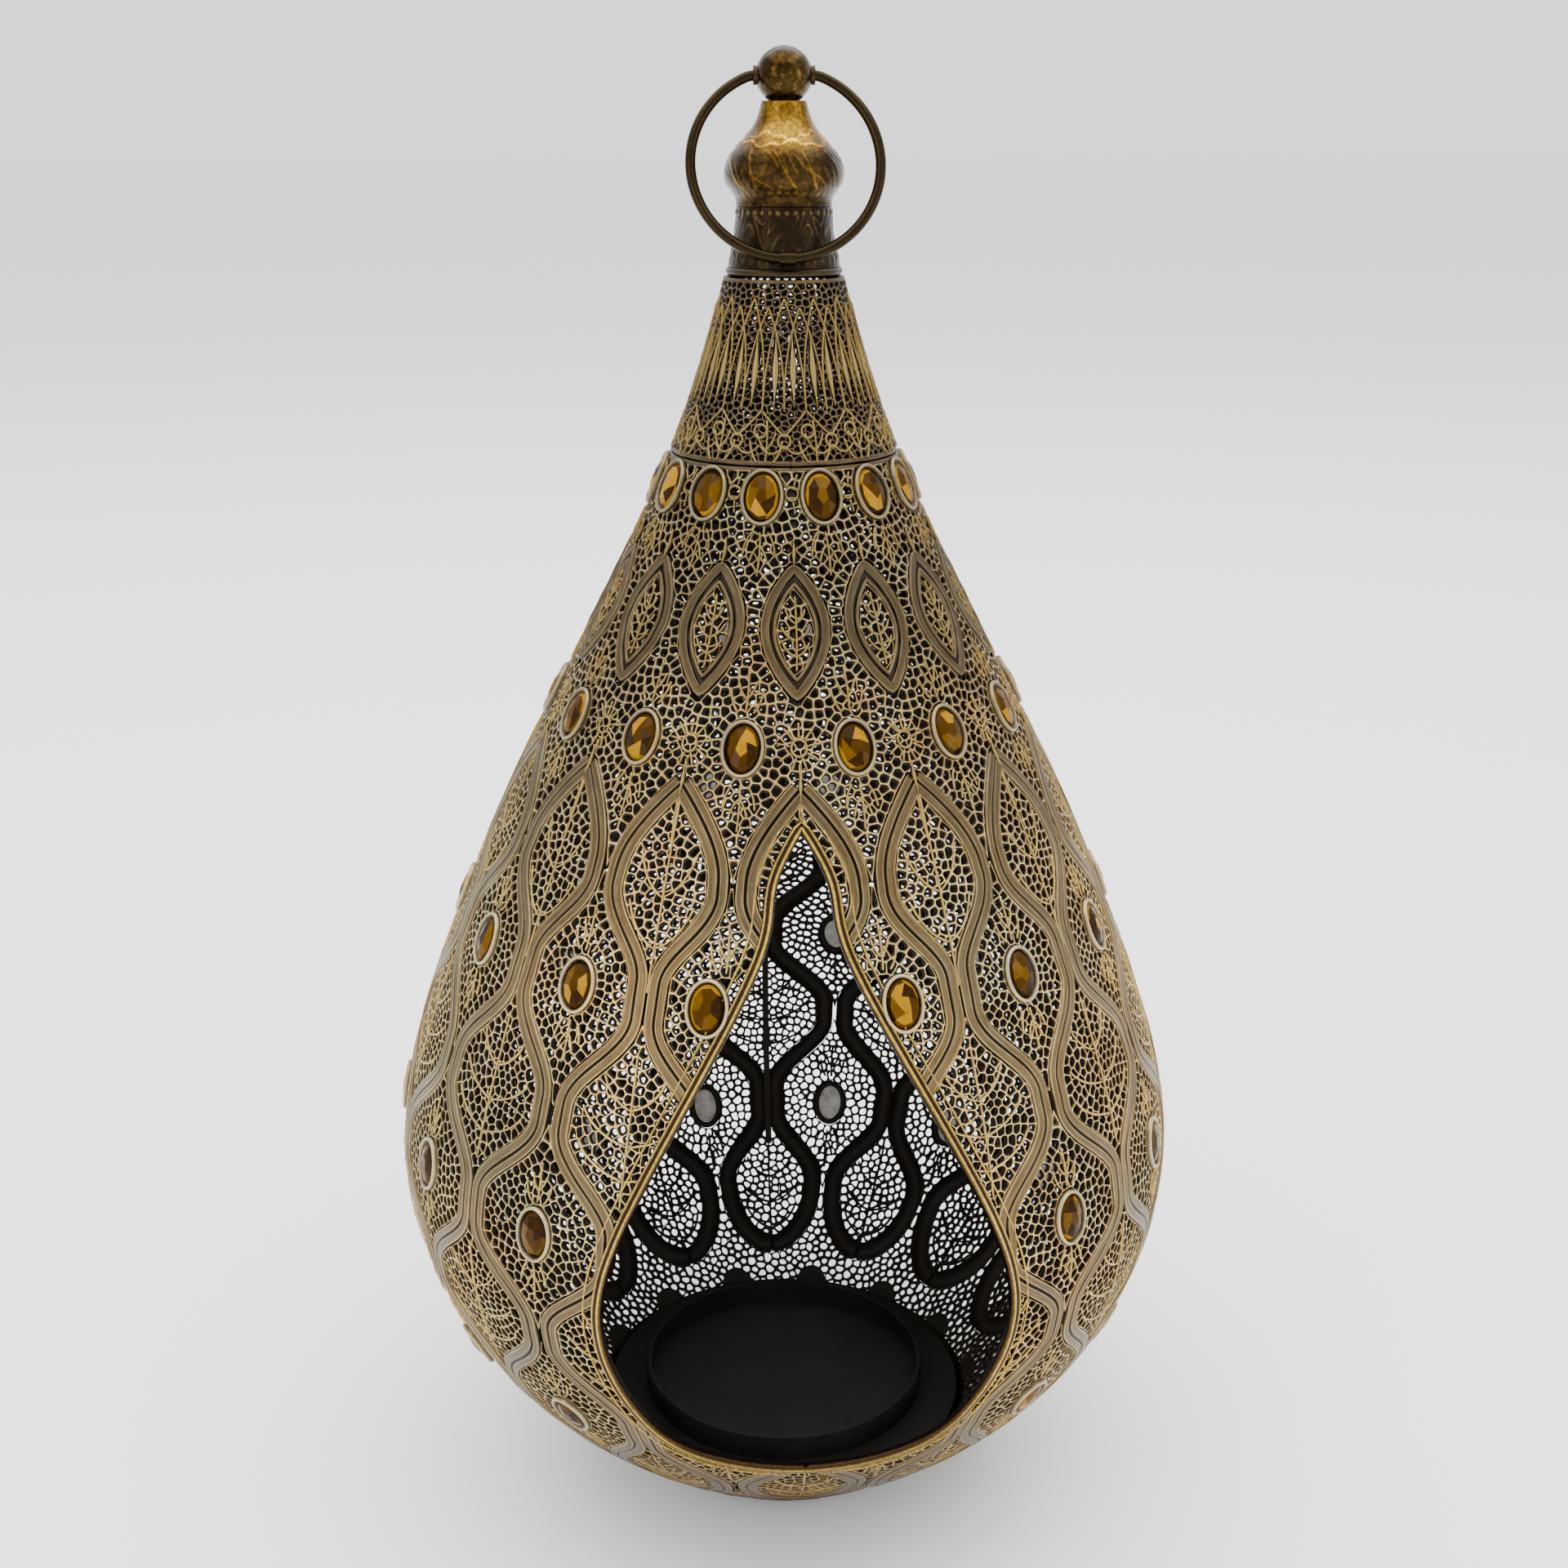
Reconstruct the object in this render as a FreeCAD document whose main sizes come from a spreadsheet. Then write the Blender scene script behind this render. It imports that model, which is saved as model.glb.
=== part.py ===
"""Standing and hanging teardrop lantern: two pierced pressed halves under a pierced cone, an arched
doorway, a candle dish on a floor plate, glass stones in oval bezels, and a turned finial whose ball
carries the swinging ring. Millimetres. The origin is the centre of the base, +Z is up, the doorway
faces -Y."""
import math
import os

import FreeCAD, Part
import Sketcher
from FreeCAD import Placement, Rotation, Vector

doc = FreeCAD.newDocument("lantern")

# ---------------------------------------------------------------- driving dimensions
SIZES = {
    # Control points of the wall's outer line, each a radius at a height, from the base to the cone's top.
    "wall_radius_0": 40.0, "wall_height_0": 0.0,
    "wall_radius_1": 59.5, "wall_height_1": 16.0,
    "wall_radius_2": 93.0, "wall_height_2": 42.0,
    "wall_radius_3": 119.0, "wall_height_3": 82.0,
    "wall_radius_4": 128.5, "wall_height_4": 128.0,
    "wall_radius_5": 112.5, "wall_height_5": 180.0,
    "wall_radius_6": 85.5, "wall_height_6": 245.0,
    "wall_radius_7": 49.5, "wall_height_7": 310.0,
    "wall_radius_8": 26.0, "wall_height_8": 360.0,
    "wall_radius_9": 17.0, "wall_height_9": 397.0,
    # Control points of the doorway's edge, each a half width at a height, from the sill to the tip.
    "door_half_0": 0.0, "door_height_0": 62.0,
    "door_half_1": 33.0, "door_height_1": 62.0,
    "door_half_2": 50.0, "door_height_2": 82.0,
    "door_half_3": 65.0, "door_height_3": 119.0,
    "door_half_4": 46.0, "door_height_4": 161.0,
    "door_half_5": 20.0, "door_height_5": 205.0,
    "door_half_6": 6.0, "door_height_6": 232.0,
    "door_half_7": 11.0, "door_height_7": 238.5,
    "door_half_8": 0.0, "door_height_8": 254.0,
    "wall": 1.0,
    "seam_height": 346.0,
    "trim_width": 2.6,
    "trim_proud": 1.2,
    "trim_depth": 3.4,
    "backing_gap": 0.15,
    "backing_wall": 0.9,
    "strip_width": 2.4,
    "strip_back_foot": 58.0,
    "strip_front_foot": 264.5,
    "joint_ring_half": 5.0,
    "pan_height": 20.0,
    "pan_floor": 1.2,
    "plate_radius": 60.4,
    "plate_thick": 1.0,
    "dish_radius": 47.3,
    "dish_height": 8.6,
    "dish_wall": 0.8,
    "stone_long": 7.0,
    "stone_short": 5.0,
    "stone_rise": 2.3,
    # Heights and widths inside a stone, as shares of its rise and of its girdle.
    "girdle_rise": 0.4,
    "table_width": 0.55,
    "bezel_wall": 1.1,
    "bezel_rise": 2.0,
    "stone_gap": 0.05,
    "stone_lift": 0.2,
    "stones_around": 14,
    "row_height_1": 337.5,
    "row_height_2": 272.5,
    "row_height_3": 207.0,
    "row_height_4": 138.0,
    "row_height_5": 71.5,
    "collar_foot": 399.4,
    "collar_foot_radius": 16.4,
    "collar_top": 416.6,
    "collar_top_radius": 13.8,
    "collar_wall": 1.2,
    # The collar's waist, as shares of its height and of the step between its foot and top radius.
    "waist_height": 0.6,
    "waist_flare": 0.2,
    "rim_radius": 15.9,
    "rim_wire": 1.2,
    "stud_radius": 2.0,
    "stud_foot": 407.0,
    "stud_top": 449.0,
    "stud_gap": 0.1,
    "nut_height": 3.2,
    "nut_flats": 7.0,
    "washer_radius": 5.0,
    "washer_thick": 0.8,
    "pear_top": 445.2,
    "ball_radius": 8.1,
    "ball_height": 452.0,
    "ring_radius": 27.1,
    "ring_drop": 25.4,
    "ring_wire": 1.5,
    "ring_bend": 8.0,
    "ring_gap": 0.06,
    "ring_stop_gap": 0.3,
    "pin_end": 4.6,
    "pin_stop_gap": 0.18,
    "bead_radius": 2.0,
    "bead_half": 2.2,
    "eyelet_radius": 2.7,
    "eyelet_bore": 1.8,
    "eyelet_inner": 7.4,
    "eyelet_outer": 8.8,
}

sheet = doc.addObject("Spreadsheet::Sheet", "Sizes")
for row, (alias, value) in enumerate(SIZES.items(), start=1):
    sheet.set(f"A{row}", alias)
    sheet.set(f"B{row}", str(value))
    sheet.setAlias(f"B{row}", alias)
doc.recompute()


def size(alias):
    """A driving dimension's number, for shapes that are worked out in code."""
    return float(sheet.get(alias))


WALL_POINTS = 10
DOOR_POINTS = 9
# How far each of the doorway's control points moves up for each millimetre that it moves outwards.
DOOR_LIFTS = (-1.0, -1.0, -0.5, 0.0, 0.0, 0.0, 0.0, 1.0, 2.0)
STONE_SIDES = 12
HALVINGS = 50
SETTLING_STEPS = 20
TALL = 500.0
PIECES = []


def piece(obj, label):
    """Marks a document object as one sub-part: its label names its file."""
    obj.Label = label
    PIECES.append(obj)
    return obj


def bind(obj, **expressions):
    """Binds properties of an object to cells of the sheet."""
    for name, text in expressions.items():
        obj.setExpression(name, text)


# ---------------------------------------------------------------- sketches
def new_body(name):
    return doc.addObject("PartDesign::Body", name)


def new_sketch(body, plane_role):
    """A sketch on one of its body's own origin planes."""
    sketch = body.newObject("Sketcher::SketchObject", body.Name + "_sketch")
    plane = next(f for f in body.Origin.OriginFeatures if f.Role == plane_role)
    sketch.AttachmentSupport = [(plane, "")]
    sketch.MapMode = "FlatFace"
    return sketch


def pin_point(sketch, geometry, corner, across, up):
    """Pins one point of a sketch by two expressions, each (text, value)."""
    for kind, (text, value) in (("DistanceX", across), ("DistanceY", up)):
        index = sketch.addConstraint(Sketcher.Constraint(kind, -1, 1, geometry, corner, value))
        sketch.setExpression(f"Constraints[{index}]", text)


def add_spline(sketch, points):
    """A cubic spline whose control points are pinned to the sheet. A point is (across, up)."""
    poles = [Vector(across[1], up[1], 0) for across, up in points]
    curve = Part.BSplineCurve()
    curve.buildFromPoles(poles, False, 3)
    spline = sketch.addGeometry(curve, False)
    sketch.exposeInternalGeometry(spline)
    for number, (across, up) in enumerate(points):
        pin_point(sketch, spline + 1 + number, 3, across, up)
    return spline


def close_splines(sketch, first, second):
    """Joins two splines at both ends, so that they bound one face."""
    for corner in (1, 2):
        line = sketch.addGeometry(Part.LineSegment(sketch.getPoint(first, corner),
                                                   sketch.getPoint(second, corner)), False)
        sketch.addConstraint(Sketcher.Constraint("Coincident", line, 1, first, corner))
        sketch.addConstraint(Sketcher.Constraint("Coincident", line, 2, second, corner))


def wall_line(inset, side=1):
    """Control points of the wall's outer line, moved inwards by an inset (text, value)."""
    text, value = inset
    sign = "" if side > 0 else "-"
    points = []
    for k in range(WALL_POINTS):
        across = (f"{sign}(Sizes.wall_radius_{k} - ({text}))", side * (size(f"wall_radius_{k}") - value))
        up = (f"Sizes.wall_height_{k}", size(f"wall_height_{k}"))
        points.append((across, up))
    return points


def door_line(outset, side=1):
    """Control points of half the doorway's edge, moved outwards by an outset (text, value)."""
    text, value = outset
    sign = "" if side > 0 else "-"
    points = []
    for k in range(DOOR_POINTS):
        half = (f"{sign}Sizes.door_half_{k}", side * size(f"door_half_{k}"))
        if k not in (0, DOOR_POINTS - 1):
            half = (f"{sign}(Sizes.door_half_{k} + ({text}))", side * (size(f"door_half_{k}") + value))
        lift = DOOR_LIFTS[k]
        up = (f"Sizes.door_height_{k} + {lift} * ({text})", size(f"door_height_{k}") + lift * value)
        points.append((half, up))
    return points


# ---------------------------------------------------------------- wall and what follows its line
def spun_skin(name, outer_inset, inner_inset):
    """A skin spun about Z between two lines parallel to the wall's outer line."""
    body = new_body(name)
    sketch = new_sketch(body, "XZ_Plane")
    outer = add_spline(sketch, wall_line(outer_inset))
    inner = add_spline(sketch, wall_line(inner_inset))
    close_splines(sketch, outer, inner)
    turn = body.newObject("PartDesign::Revolution", name + "_turn")
    turn.Profile = sketch
    turn.ReferenceAxis = (sketch, ["V_Axis"])
    turn.Angle = 360
    return body


def slab(name, low, high, x_side=0):
    """A box between two heights, over the whole plan or over one side of X = 0."""
    box = doc.addObject("Part::Box", name)
    box.Length = TALL if x_side else 2 * TALL
    box.Width = 2 * TALL
    bind(box, Height=f"({high}) - ({low})")
    x = 0.0 if x_side > 0 else -TALL
    box.Placement = Placement(Vector(x, -TALL, 0), Rotation())
    box.setExpression("Placement.Base.z", low)
    return box


def common(name, *shapes):
    """What the given objects share."""
    held = shapes[0]
    for number, tool in enumerate(shapes[1:], start=1):
        both = doc.addObject("Part::Common", f"{name}_{number}")
        both.Base = held
        both.Tool = tool
        held = both
    return held


def cut(name, base, tool):
    """One object with another taken out of it."""
    result = doc.addObject("Part::Cut", name)
    result.Base = base
    result.Tool = tool
    return result


ZERO = ("0", 0.0)
WALL = ("Sizes.wall", size("wall"))
BACK = ("Sizes.wall + Sizes.backing_gap", size("wall") + size("backing_gap"))
BACK_IN = (
    "Sizes.wall + Sizes.backing_gap + Sizes.backing_wall",
    size("wall") + size("backing_gap") + size("backing_wall"),
)
TRIM_OUT = ("-Sizes.trim_proud", -size("trim_proud"))
TRIM_IN = ("Sizes.trim_depth - Sizes.trim_proud", size("trim_depth") - size("trim_proud"))
TRIM_WIDE = ("Sizes.trim_width", size("trim_width"))

wall_skin = spun_skin("wall_skin", ZERO, WALL)
backing_skin = spun_skin("backing_skin", BACK, BACK_IN)
trim_skin = spun_skin("trim_skin", TRIM_OUT, TRIM_IN)


def door_prism(name, outset):
    """The doorway's outline, pushed from the middle plane out through the front wall."""
    body = new_body(name)
    sketch = new_sketch(body, "XZ_Plane")
    for side in (1, -1):
        add_spline(sketch, door_line(outset, side))
    pad = body.newObject("PartDesign::Pad", name + "_pad")
    pad.Profile = sketch
    pad.Length = TALL
    return body


door_hole = door_prism("door_hole", ZERO)
door_rim = door_prism("door_rim", TRIM_WIDE)
doc.recompute()
for prism in (door_hole, door_rim):
    if prism.Shape.BoundBox.YMax > 1:
        prism.Tip.Reversed = True

FOOT = "0"
SEAM = "Sizes.seam_height"
for side, word in ((1, "right"), (-1, "left")):
    half_space = slab(f"half_{word}", FOOT, SEAM, x_side=side)
    half = common(f"half_wall_{word}", wall_skin, half_space)
    piece(cut(f"shell_{word}", half, door_rim), f"shell_{word}")
    rim_half = common(f"rim_{word}", trim_skin, door_rim, slab(f"rim_side_{word}", FOOT, SEAM, x_side=side))
    piece(cut(f"door_trim_{word}", rim_half, door_hole), f"door_trim_{word}")

cone_space = slab("cone_space", SEAM, "Sizes.wall_height_9")
piece(common("upper_cone", wall_skin, cone_space), "upper_cone")
joint_space = slab("joint_space", SEAM + " - Sizes.joint_ring_half", SEAM + " + Sizes.joint_ring_half")
piece(common("cone_joint_ring", backing_skin, joint_space), "cone_joint_ring")


def seam_strip(name, side, low, high):
    """A flat strip bent along the inside of the wall, over the weld between the two halves."""
    body = new_body(name + "_blank")
    sketch = new_sketch(body, "YZ_Plane")
    outer = add_spline(sketch, wall_line(BACK, side))
    inner = add_spline(sketch, wall_line(BACK_IN, side))
    close_splines(sketch, outer, inner)
    pad = body.newObject("PartDesign::Pad", name + "_pad")
    pad.Profile = sketch
    pad.Midplane = True
    bind(pad, Length="Sizes.strip_width")
    piece(common(name, body, slab(name + "_space", low, high)), name)


STRIP_HEAD = SEAM + " - Sizes.joint_ring_half"
seam_strip("seam_strip_back", 1, "Sizes.strip_back_foot", STRIP_HEAD)
seam_strip("seam_strip_front", -1, "Sizes.strip_front_foot", STRIP_HEAD)

# ---------------------------------------------------------------- base, floor plate and candle dish
pan_side = common("pan_side", backing_skin, slab("pan_space", FOOT, "Sizes.pan_height"))
pan_floor = doc.addObject("Part::Cylinder", "pan_disc")
bind(pan_floor, Radius="Sizes.wall_radius_0 - Sizes.wall - Sizes.backing_gap - Sizes.backing_wall / 2",
     Height="Sizes.pan_floor")
pan = doc.addObject("Part::Fuse", "base_pan")
pan.Base = pan_side
pan.Tool = pan_floor
piece(pan, "base_pan")

plate = doc.addObject("Part::Cylinder", "floor_plate")
bind(plate, Radius="Sizes.plate_radius", Height="Sizes.plate_thick")
plate.setExpression("Placement.Base.z", "Sizes.pan_height")
piece(plate, "floor_plate")


def turned(label, outline):
    """A body turned about Z from a closed outline of straight sides. A point is (text, text)."""
    body = new_body(label)
    sketch = new_sketch(body, "XZ_Plane")
    values = [(float(sheet_value(a)), float(sheet_value(b))) for a, b in outline]
    count = len(outline)
    lines = [
        sketch.addGeometry(Part.LineSegment(Vector(*values[k], 0), Vector(*values[(k + 1) % count], 0)))
        for k in range(count)
    ]
    for k in range(count):
        sketch.addConstraint(Sketcher.Constraint("Coincident", lines[k], 2, lines[(k + 1) % count], 1))
    for k, (across, up) in enumerate(outline):
        pin_point(sketch, lines[k], 1, (across, values[k][0]), (up, values[k][1]))
    turn = body.newObject("PartDesign::Revolution", label + "_turn")
    turn.Profile = sketch
    turn.ReferenceAxis = (sketch, ["V_Axis"])
    turn.Angle = 360
    return piece(body, label)


def sheet_value(text):
    """The number that an expression on the sheet's cells gives, in millimetres."""
    value = sheet.evalExpression(text)
    return value.Value if hasattr(value, "Value") else value


DISH_FOOT = "Sizes.pan_height + Sizes.plate_thick"
turned("candle_dish", [
    ("0", DISH_FOOT),
    ("Sizes.dish_radius", DISH_FOOT),
    ("Sizes.dish_radius", DISH_FOOT + " + Sizes.dish_height"),
    ("Sizes.dish_radius - Sizes.dish_wall", DISH_FOOT + " + Sizes.dish_height"),
    ("Sizes.dish_radius - Sizes.dish_wall", DISH_FOOT + " + Sizes.dish_wall"),
    ("0", DISH_FOOT + " + Sizes.dish_wall"),
])

# ---------------------------------------------------------------- collar, stud and turned finial
COLLAR_IN = " - Sizes.collar_wall"
STUD_HOLE = "Sizes.stud_radius + Sizes.stud_gap"
turned("collar", [
    ("Sizes.collar_foot_radius" + COLLAR_IN, "Sizes.collar_foot"),
    ("Sizes.collar_foot_radius", "Sizes.collar_foot"),
    ("Sizes.collar_top_radius + Sizes.waist_flare * (Sizes.collar_foot_radius - Sizes.collar_top_radius)",
     "Sizes.collar_foot + Sizes.waist_height * (Sizes.collar_top - Sizes.collar_foot)"),
    ("Sizes.collar_top_radius", "Sizes.collar_top"),
    (STUD_HOLE, "Sizes.collar_top"),
    (STUD_HOLE, "Sizes.collar_top" + COLLAR_IN),
    ("Sizes.collar_top_radius" + COLLAR_IN, "Sizes.collar_top" + COLLAR_IN),
])

rim = doc.addObject("Part::Torus", "collar_rim")
bind(rim, Radius1="Sizes.rim_radius", Radius2="Sizes.rim_wire")
rim.setExpression("Placement.Base.z", "Sizes.collar_foot - Sizes.rim_wire")
piece(rim, "collar_rim")

stud = doc.addObject("Part::Cylinder", "finial_stud")
bind(stud, Radius="Sizes.stud_radius", Height="Sizes.stud_top - Sizes.stud_foot")
stud.setExpression("Placement.Base.z", "Sizes.stud_foot")
piece(stud, "finial_stud")

WASHER_FOOT = "Sizes.collar_top - Sizes.collar_wall - Sizes.washer_thick"
turned("finial_washer", [
    (STUD_HOLE, WASHER_FOOT),
    ("Sizes.washer_radius", WASHER_FOOT),
    ("Sizes.washer_radius", WASHER_FOOT + " + Sizes.washer_thick"),
    (STUD_HOLE, WASHER_FOOT + " + Sizes.washer_thick"),
])

nut_blank = doc.addObject("Part::Prism", "nut_blank")
nut_blank.Polygon = 6
bind(nut_blank, Circumradius="Sizes.nut_flats / 2 / cos(30 deg)", Height="Sizes.nut_height")
nut_bore = doc.addObject("Part::Cylinder", "nut_bore")
bind(nut_bore, Radius=STUD_HOLE, Height="Sizes.nut_height")
for blank in (nut_blank, nut_bore):
    blank.setExpression("Placement.Base.z", WASHER_FOOT + " - Sizes.nut_height")
piece(cut("finial_nut", nut_blank, nut_bore), "finial_nut")

# The pear's outer line: a foot bead, the full belly, the hollow shoulder and the slim neck.
PEAR_SHAPE = [
    (14.0, 0.0), (13.5, 2.0), (17.0, 5.0), (17.5, 10.0),
    (15.5, 14.5), (11.5, 18.5), (7.5, 23.0), (6.5, 28.5),
]


def pear_finial():
    """The pear is spun from a freely drawn line, so its shape is made in code from the sheet's sizes."""
    foot = size("collar_top")
    scale = (size("pear_top") - foot) / PEAR_SHAPE[-1][1]
    poles = [Vector(radius, 0, foot + rise * scale) for radius, rise in PEAR_SHAPE]
    line = Part.BSplineCurve()
    line.buildFromPoles(poles, False, 3)
    bore = size("stud_radius") + size("stud_gap")
    low = Vector(bore, 0, foot)
    high = Vector(bore, 0, size("pear_top"))
    wire = Part.Wire([
        line.toShape(),
        Part.LineSegment(poles[-1], high).toShape(),
        Part.LineSegment(high, low).toShape(),
        Part.LineSegment(low, poles[0]).toShape(),
    ])
    pear = doc.addObject("Part::Feature", "pear_finial")
    pear.Shape = Part.Face(wire).revolve(Vector(0, 0, 0), Vector(0, 0, 1), 360)
    return piece(pear, "pear_finial")


pear_finial()

ball_blank = doc.addObject("Part::Sphere", "ball_blank")
bind(ball_blank, Radius="Sizes.ball_radius")
ball_blank.setExpression("Placement.Base.z", "Sizes.ball_height")
ball_seat = slab("ball_seat", "Sizes.pear_top", "Sizes.ball_height + 2 * Sizes.ball_radius")
ball_stock = common("ball_stock", ball_blank, ball_seat)
ball_socket = doc.addObject("Part::Cylinder", "ball_socket")
bind(ball_socket, Radius=STUD_HOLE, Height="Sizes.stud_top + Sizes.stud_gap - Sizes.pear_top")
ball_socket.setExpression("Placement.Base.z", "Sizes.pear_top")


def cross_pin(name, radius, start, end):
    """A pin or bore along X, at the ball's height, from one distance to another on the +X side."""
    pin = doc.addObject("Part::Cylinder", name)
    bind(pin, Radius=radius, Height=f"({end}) - ({start})")
    pin.Placement = Placement(Vector(0, 0, 0), Rotation(Vector(0, 1, 0), 90))
    pin.setExpression("Placement.Base.x", start)
    pin.setExpression("Placement.Base.z", "Sizes.ball_height")
    return pin


ball = cut("ball_drilled", ball_stock, ball_socket)
PIN_BORE = "Sizes.ring_wire + Sizes.ring_gap"
PIN_STOP = "Sizes.pin_end - Sizes.pin_stop_gap"
PAST_BALL = "2 * Sizes.ball_radius"
bore_right = cross_pin("bore_right", PIN_BORE, PIN_STOP, PAST_BALL)
bore_left = cross_pin("bore_left", PIN_BORE, f"-({PAST_BALL})", f"-({PIN_STOP})")
ball = cut("ball_right_bore", ball, bore_right)
piece(cut("finial_ball", ball, bore_left), "finial_ball")

eyelets = []
for word, start, end in (
    ("right", "Sizes.eyelet_inner", "Sizes.eyelet_outer"),
    ("left", "-Sizes.eyelet_outer", "-Sizes.eyelet_inner"),
):
    collar_blank = cross_pin(f"eyelet_blank_{word}", "Sizes.eyelet_radius", start, end)
    collar_bore = cross_pin(f"eyelet_bore_{word}", "Sizes.eyelet_bore", start, end)
    eyelets.append(cut(f"eyelet_{word}", cut(f"eyelet_ring_{word}", collar_blank, collar_bore), ball_blank))
both_eyelets = doc.addObject("Part::Compound", "ball_eyelets")
both_eyelets.Links = eyelets
piece(both_eyelets, "ball_eyelets")


# ---------------------------------------------------------------- stones in their bezels
def wall_curve():
    """The wall's outer line as a curve in the XZ plane."""
    poles = [Vector(size(f"wall_radius_{k}"), 0, size(f"wall_height_{k}")) for k in range(WALL_POINTS)]
    curve = Part.BSplineCurve()
    curve.buildFromPoles(poles, False, 3)
    return curve


def wall_frame(curve, height, angle):
    """Where the wall's outer line passes a height, turned to an angle about Z: x runs around the wall,
    y up it and z out of it. The angle is 0 at the doorway and grows towards +X."""
    low, high = curve.FirstParameter, curve.LastParameter
    for _ in range(HALVINGS):
        middle = (low + high) / 2
        if curve.value(middle).z < height:
            low = middle
        else:
            high = middle
    up = curve.tangent(low)[0]
    up = up if up.z > 0 else up * -1
    out = Vector(up.z, 0, -up.x)
    point = curve.value(low) + out * size("stone_lift")
    around = up.cross(out)
    frame = FreeCAD.Matrix(
        around.x, up.x, out.x, point.x,
        around.y, up.y, out.y, point.y,
        around.z, up.z, out.z, point.z,
        0, 0, 0, 1,
    )
    turn = Placement(Vector(0, 0, 0), Rotation(Vector(0, 0, 1), math.degrees(angle) - 90))
    return turn.multiply(Placement(frame))


def oval(short, long, rise):
    """A closed oval wire at a height above the wall, longer up the wall than around it."""
    ellipse = Part.Ellipse(Vector(0, 0, rise), long, short)
    ellipse.rotate(Placement(Vector(0, 0, 0), Rotation(Vector(0, 0, 1), 90)))
    return Part.Wire([ellipse.toShape()])


def bezel_shape():
    """An oval ring that stands on the wall around one stone."""
    short, long = size("stone_short") + size("stone_gap"), size("stone_long") + size("stone_gap")
    wide = size("bezel_wall")
    outer = Part.Face(oval(short + wide, long + wide, 0))
    inner = Part.Face(oval(short, long, 0))
    return outer.cut(inner).extrude(Vector(0, 0, size("bezel_rise")))


def stone_shape():
    """A stone with a girdle of flat sides, sloping up to a smaller table."""

    def girdle(scale, rise):
        corners = []
        for k in range(STONE_SIDES + 1):
            angle = 2 * math.pi * k / STONE_SIDES
            corners.append(Vector(scale * size("stone_short") * math.sin(angle),
                                  scale * size("stone_long") * math.cos(angle), rise))
        return Part.makePolygon(corners)

    rise = size("stone_rise")
    middle = girdle(1.0, size("girdle_rise") * rise)
    foot = Part.makeLoft([girdle(1.0, 0), middle], True, True)
    crown = Part.makeLoft([middle, girdle(size("table_width"), rise)], True, True)
    return foot.fuse(crown).removeSplitter()


def stone_angles(row):
    """Angles of a row's stones. Rows beside the doorway leave out the pair next to its middle."""
    step = 2 * math.pi / size("stones_around")
    angles = [(k + 0.5) * step for k in range(int(size("stones_around")))]
    if row >= 3:
        angles = angles[1:-1]
    return angles


line_of_wall = wall_curve()
for row in range(1, 6):
    frames = [wall_frame(line_of_wall, size(f"row_height_{row}"), angle) for angle in stone_angles(row)]
    for word, shape in (("bezels", bezel_shape()), ("stones", stone_shape())):
        copies = []
        for frame in frames:
            copy = shape.copy()
            copy.Placement = frame
            copies.append(copy)
        group = doc.addObject("Part::Feature", f"{word}_row_{row}")
        group.Shape = Part.makeCompound(copies)
        piece(group, f"{word}_row_{row}")


# ---------------------------------------------------------------- the swinging ring
def ring_lean():
    """How far the resting ring leans forward of straight down, so that its bead clears the collar."""
    reach = size("ring_drop") + size("ring_radius")
    lean = math.asin(size("collar_foot_radius") / reach)
    foot, top = size("collar_foot"), size("collar_top")
    wide, slim = size("collar_foot_radius"), size("collar_top_radius")
    for _ in range(SETTLING_STEPS):
        height = size("ball_height") - reach * math.cos(lean)
        share = min(max((height - foot) / (size("waist_height") * (top - foot)), 0.0), 1.0)
        collar = wide - (1 - size("waist_flare")) * share * (wide - slim)
        lean = math.asin((collar + size("bead_radius") + size("ring_stop_gap")) / reach)
    return lean


def hanging_ring():
    """A round wire bent to a ring, its two ends bent straight to lie in the ball's cross bores."""
    radius, drop, bend = size("ring_radius"), size("ring_drop"), size("ring_bend")
    bend_x = math.sqrt((radius - bend) ** 2 - (drop - bend) ** 2)
    turn_angle = math.atan2(bend_x, drop - bend)
    centre = Vector(0, 0, -drop)

    def on_ring(angle):
        return centre + Vector(math.sin(angle), 0, math.cos(angle)) * radius

    def on_bend(side, angle):
        return Vector(side * (bend_x + bend * math.sin(angle)), 0, -bend + bend * math.cos(angle))

    big_arc = Part.Arc(on_ring(turn_angle), on_ring(math.pi), on_ring(-turn_angle)).toShape()
    pin_right = Part.LineSegment(Vector(size("pin_end"), 0, 0), on_bend(1, 0)).toShape()
    bend_right = Part.Arc(on_bend(1, 0), on_bend(1, turn_angle / 2), on_bend(1, turn_angle)).toShape()
    bend_left = Part.Arc(on_bend(-1, turn_angle), on_bend(-1, turn_angle / 2), on_bend(-1, 0)).toShape()
    pin_left = Part.LineSegment(on_bend(-1, 0), Vector(-size("pin_end"), 0, 0)).toShape()
    edges = [pin_right, bend_right, big_arc, bend_left, pin_left]
    path = Part.Wire(edges)
    round_end = Part.Circle(Vector(size("pin_end"), 0, 0), Vector(1, 0, 0), size("ring_wire"))
    section = Part.Wire([round_end.toShape()])
    wire = path.makePipeShell([section], True, False)
    bead_foot = centre + Vector(-size("bead_half"), 0, -radius)
    bead = Part.makeCylinder(size("bead_radius"), 2 * size("bead_half"), bead_foot, Vector(1, 0, 0))
    bead = bead.cut(wire)
    hung = Rotation(Vector(-1, 0, 0), math.degrees(ring_lean()))
    place = Placement(Vector(0, 0, size("ball_height")), hung)
    for label, shape in (("hanging_ring", wire), ("ring_weld_bead", bead)):
        part = doc.addObject("Part::Feature", label)
        part.Shape = shape
        part.Placement = place
        piece(part, label)


hanging_ring()

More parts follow.
